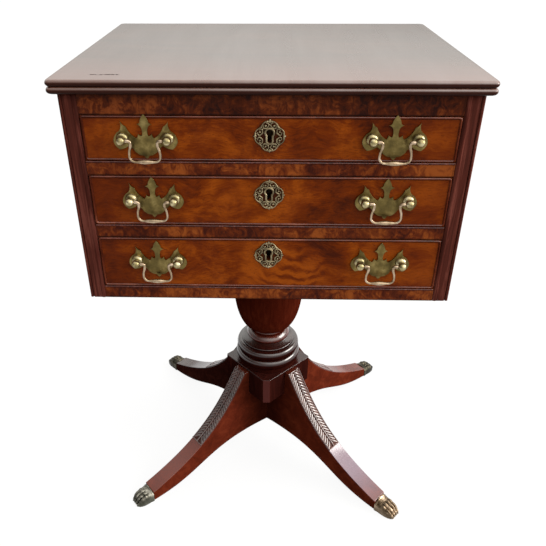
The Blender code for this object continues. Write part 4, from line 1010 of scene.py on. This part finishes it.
def build_cockbead(drawer, bottom, height, material):
    """Half-round bead round a drawer front, its corners a little rounded."""
    middle = bottom + height / 2
    half_width, half_height = DRAWER_HALF_WIDTH - COCKBEAD_CORNER, height / 2 - COCKBEAD_CORNER
    section = [(0.0, 0.0004), *half_round(COCKBEAD_WIDTH, COCKBEAD_ROUND, 8), (COCKBEAD_WIDTH, 0.0004)]
    rings = []
    for inset, out in section:
        outline = rounded(half_width, half_height, COCKBEAD_CORNER - inset, 6)
        rings.append([(x, CASE_FRONT + out, middle + z) for x, z in outline])
    piece(f"{drawer}_cockbead", solid(rings, close=True), material, drawer, sharp=60)


def build_case_beads(material):
    """Half-round bead down each stile beside the drawers, and along the top edge of each rail below one."""
    inner = DRAWER_HALF_WIDTH + 0.0015
    section, edge = half_round(*STILE_BEAD, 10), half_round(*RAIL_BEAD, 10)
    low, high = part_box("front_left_stile")
    shape = bmesh.new()
    for side in (-1, 1):
        loft(shape, [[(side * (inner + x), CASE_FRONT - 0.0001 + y, z) for x, y in section]
                     for z in (low[2] + 0.0005, high[2] - 0.0005)])
    for node in ("upper_divider", "lower_divider", "bottom_rail"):
        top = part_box(node)[1][2]
        loft(shape, [[(x, CASE_FRONT - 0.0001 + y, top - z) for z, y in edge]
                     for x in (-DRAWER_HALF_WIDTH, DRAWER_HALF_WIDTH)])
    piece("case_beads", shape, material, "table", sharp=60)


def dress(node, material, bevel=0.0):
    """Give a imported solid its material, and soften its edges."""
    item = NODES[node]
    item.data.materials.clear()
    item.data.materials.append(material)
    if bevel:
        soften(item, bevel)


def build_case():
    """Materials of the case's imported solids."""
    # Stiles darker at the bottom, a painted shade
    dark = mahogany("stile_mahogany", (38, 14, 11), (69, 27, 21), (110, 60, 51), (26, 26, 1.2), 0.25, 0.09,
                    shade_below=(0.3575, 0.45, 0.0060))
    side = mahogany("side_mahogany", (56, 20, 12), (90, 38, 22), (124, 60, 36), (20, 1.5, 20), 0.35)
    # The block's front-facing cant is lighter, a painted light
    block = mahogany("block_mahogany", (28, 9, 7), (46, 16, 12), (70, 30, 24), (14, 14, 2),
                     front=(88, 46, 43))
    for hand in ("left", "right"):
        dress(f"front_{hand}_stile", dark, 0.0004)
        dress(f"{hand}_side_panel", side, 0.0005)
    build_block(block)
    dress("pedestal_bearer", block, 0.0008)
    build_case_beads(dark)
    colours = ((57, 20, 11), (98, 41, 17), (144, 74, 31))
    # The top rail takes a darker copy of the colours, a painted shadow under the top's overhang
    overhang_shaded_tones = ((40, 14, 8), (78, 32, 14), (126, 62, 28))
    for i, node in enumerate(("top_rail", "upper_divider", "lower_divider", "bottom_rail")):
        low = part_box(node)[0][2]
        tones = overhang_shaded_tones if node == "top_rail" else colours
        dress(node, crossband(f"{node}_veneer", low, (1.7 * i, 0.0, 0.6 * i), *tones), 0.0003)
    lining = pale_boards("board_lining", (2, 24, 24))
    for node in ("bottom_board", "upper_dust_board", "lower_dust_board"):
        dress(node, lining, 0.0003)
    back = mahogany("back_mahogany", (50, 18, 11), (80, 33, 20), (110, 53, 33), (20, 20, 1.5), 0.35)
    dress("back_panel", back, 0.0003)


def build_drawers():
    """Drawers: veneered fronts, pale linings, locks, escutcheons and handles."""
    colours = ((64, 21, 5), (109, 43, 6), (150, 71, 14))
    # Middle of the curved stripes on each front, how far they spread and how strong they are
    swirls = {
        "upper_drawer": ((0.070, CASE_FRONT, 0.664), 0.060, 0.03),
        "middle_drawer": ((-0.075, CASE_FRONT, 0.586), 0.050, 0.04),
        "lower_drawer": ((0.030, CASE_FRONT, 0.480), 0.060, 0.16),
    }
    bead_wood = mahogany("cockbead_mahogany", (58, 23, 14), (92, 40, 25), (128, 70, 50), grain=(3, 3, 3))
    brass = aged_brass("plate_brass", (95, 81, 44), (136, 119, 74), (66, 56, 30))
    polished = aged_brass("worn_brass", (150, 137, 97), (206, 194, 158), (102, 90, 55), (0.28, 0.42), 0.7)
    bright = aged_brass("bail_brass", (158, 137, 110), (208, 186, 162), (112, 93, 68), (0.22, 0.36), 0.5)
    bronze = aged_brass("escutcheon_bronze", (98, 86, 64), (158, 144, 114), (48, 39, 26), (0.26, 0.44), 0.9)
    lock_brass = aged_brass("lock_brass", (44, 34, 24), (72, 58, 40), (26, 19, 14))
    along = pale_boards("drawer_side_lining", (20, 2, 20))
    across = pale_boards("drawer_back_lining", (2, 20, 20), (0.4, 0, 0))
    for i, (drawer, (bottom, height, offset, rise)) in enumerate(DRAWERS.items()):
        shift = (3.1 * i + 5.3, 0.0, 1.9 * i)
        veneer = drawer_veneer(f"{drawer}_veneer", bottom, bottom + height, shift, swirls[drawer], *colours)
        dress(f"{drawer}_front", veneer)
        build_cockbead(drawer, bottom, height, bead_wood)
        for end in ("left_side", "right_side"):
            dress(f"{drawer}_{end}", along, 0.0003)
        for end in ("back", "bottom"):
            dress(f"{drawer}_{end}", across, 0.0003)
        dress(f"{drawer}_lock", lock_brass, 0.0002)
        dress(f"{drawer}_bolt", lock_brass, 0.0002)
        build_escutcheon(drawer, Vector((0.0, CASE_FRONT, bottom + height - KEYHOLE_DROP)), bronze)
        for hand, side in (("left", -1), ("right", 1)):
            centre = Vector((side * offset, CASE_FRONT, bottom + height / 2 + rise))
            build_handle(drawer, hand, centre, brass, polished, bright)


def build_floor():
    """Paper floor: white to the camera and in the polish, dim to the light that it would throw back up."""
    mesh = bpy.data.meshes.new("floor")
    far = FLOOR_REACH
    mesh.from_pydata([(-far, -far, 0), (far, -far, 0), (far, far, 0), (-far, far, 0)], [], [(0, 1, 2, 3)])
    floor = put("floor", mesh)
    floor.location.z = -FLOOR_DROP
    paper = bpy.data.materials.new("paper_floor")
    paper.use_nodes = True
    paper.node_tree.nodes.clear()
    graph = Graph(paper.node_tree)
    dim = graph.node("BsdfDiffuse", {"Color": (0.06, 0.055, 0.05, 1.0)})
    pale = graph.node("BsdfDiffuse", {"Color": (0.80, 0.80, 0.80, 1.0)})
    glow = graph.node("Emission", {"Strength": 1.0})
    white = graph.node("MixShader", {"Fac": 0.90, 1: pale.outputs["BSDF"], 2: glow.outputs["Emission"]})
    rays = graph.node("LightPath").outputs
    mirrored = graph.sum("MAXIMUM", rays["Is Glossy Ray"], rays["Is Transmission Ray"])
    direct = graph.sum("MAXIMUM", rays["Is Camera Ray"], mirrored)
    seen = graph.node("MixShader", {"Fac": direct, 1: dim.outputs["BSDF"], 2: white.outputs["Shader"]})
    graph.node("OutputMaterial", {"Surface": seen.outputs["Shader"]})
    mesh.materials.append(paper)


def build_light():
    """An overcast sky, dim at the horizon and brighter overhead and to the right, and one window."""
    world = bpy.data.worlds.new("studio")
    bpy.context.scene.world = world
    world.use_nodes = True
    sky = Graph(world.node_tree)
    x, y, z = sky.axes(sky.node("TexCoord").outputs["Generated"])
    greys = ((0.0, 0.16), (0.25, 0.60), (1.0, 1.0))
    height = sky.ramp(z, *((place, (grey, grey, grey, 1.0)) for place, grey in greys))
    side = sky.sum("ADD", sky.times(sky.sum("SUBTRACT", 1.0, y), 0.70, x), 1.0)
    side = sky.sum("MAXIMUM", side, 0.06)
    background = sky.tree.nodes["Background"]
    sky.feed(background.inputs["Color"], (1.0, 0.985, 0.94, 1.0))
    sky.feed(background.inputs["Strength"], sky.times(height, side, SKY_STRENGTH))

    data = bpy.data.lights.new("right_window", "AREA")
    data.shape = "RECTANGLE"
    data.size, data.size_y = WINDOW_SIZE
    data.energy = WINDOW_POWER
    data.color = (1.0, 0.985, 0.93)
    lamp = put("right_window", data)
    lamp.location = WINDOW_PLACE
    lamp.rotation_euler = (WINDOW_TARGET - WINDOW_PLACE).to_track_quat("-Z", "Y").to_euler()


def build_camera():
    """The camera, and colours shown as they are."""
    data = bpy.data.cameras.new("camera")
    data.sensor_width = SENSOR_WIDTH
    data.lens = FOCAL_PIXELS * SENSOR_WIDTH / IMAGE_SIZE
    data.shift_x = 0.5 - MIDDLE_PIXEL / IMAGE_SIZE
    data.shift_y = MIDDLE_DROP / IMAGE_SIZE
    camera = put("camera", data)
    level = Vector((sin(CAMERA_YAW), cos(CAMERA_YAW), 0.0))
    forward = level * cos(CAMERA_PITCH) - Vector((0.0, 0.0, sin(CAMERA_PITCH)))
    right = Vector((level.y, -level.x, 0.0))
    down = forward.cross(right)
    across = cos(CAMERA_ROLL) * right + sin(CAMERA_ROLL) * down
    up = sin(CAMERA_ROLL) * right - cos(CAMERA_ROLL) * down
    turn = Matrix((across, up, -forward)).transposed().to_4x4()
    camera.matrix_world = Matrix.Translation(CAMERA_PLACE) @ turn
    bpy.context.scene.camera = camera
    bpy.context.scene.view_settings.view_transform = "Standard"


build_floor()
build_light()
build_camera()
build_case()
build_top(polished_top())
# The column is darkened below the cove by painted shade
column_wood = mahogany("column_mahogany", (46, 13, 7), (74, 23, 12), (104, 42, 24), (16, 16, 1.5),
                       spread=0.24, rough=(0.16, 0.30), shine=0.8, coat=0.7, shade_below=(0.2425, 0.72, 0.0008),
                       shaded=0.335)
# The back left leg takes a darker copy of the wood, a painted shade
red_tones = ((74, 27, 16), (90, 34, 20), (108, 45, 27))
shaded_leg_tones = ((38, 15, 12), (48, 19, 15), (62, 28, 22))
# The front legs' upward faces take colours of painted light: a lilac sheen on the right, a warm tone on the
# left
leg_wood = {
    "front_left": leg_mahogany("front_left_mahogany", red_tones, 0.42, (104, 46, 34)),
    "front_right": leg_mahogany("front_right_mahogany", red_tones, 0.8, (96, 72, 92)),
    "back_left": leg_mahogany("back_left_shaded_mahogany", shaded_leg_tones, 0.8),
    "back_right": leg_mahogany("back_right_mahogany", red_tones, 0.5),
}
carved_wood = mahogany("carved_mahogany", (40, 18, 15), (72, 40, 34), (112, 76, 66), (8, 8, 8),
                       shine=0.9, coat=0.5)
# Ground of the carving, darker as dirt and painted shade between the barbs
shaded_carving_ground = mahogany("carving_dirt_and_shade", (38, 19, 16), (60, 34, 29), (84, 52, 45), (8, 8, 8),
                         rough=(0.4, 0.6), shine=0.1, coat=0.0)
# The back paws take a darker copy of the brass, a painted shade; each paw's sides colour is a painted shade
# too
shaded_back_paw_brass = aged_brass("shaded_paw_brass", (62, 58, 48), (104, 97, 82), (32, 30, 25), dirt_and_shade=0.9,
                        sides=(30, 27, 20))
paw_brass = {
    "front_left": aged_brass("left_paw_brass", (94, 91, 82), (172, 168, 156), (46, 46, 38), dirt_and_shade=0.9,
                             sides=(58, 60, 46)),
    "front_right": aged_brass("right_paw_brass", (118, 100, 80), (206, 182, 156), (54, 42, 30), dirt_and_shade=0.9,
                              sides=(46, 35, 19)),
    "back_left": shaded_back_paw_brass,
    "back_right": shaded_back_paw_brass,
}
build_column(column_wood)
build_legs(leg_wood, carved_wood, shaded_carving_ground, paw_brass)
build_drawers()
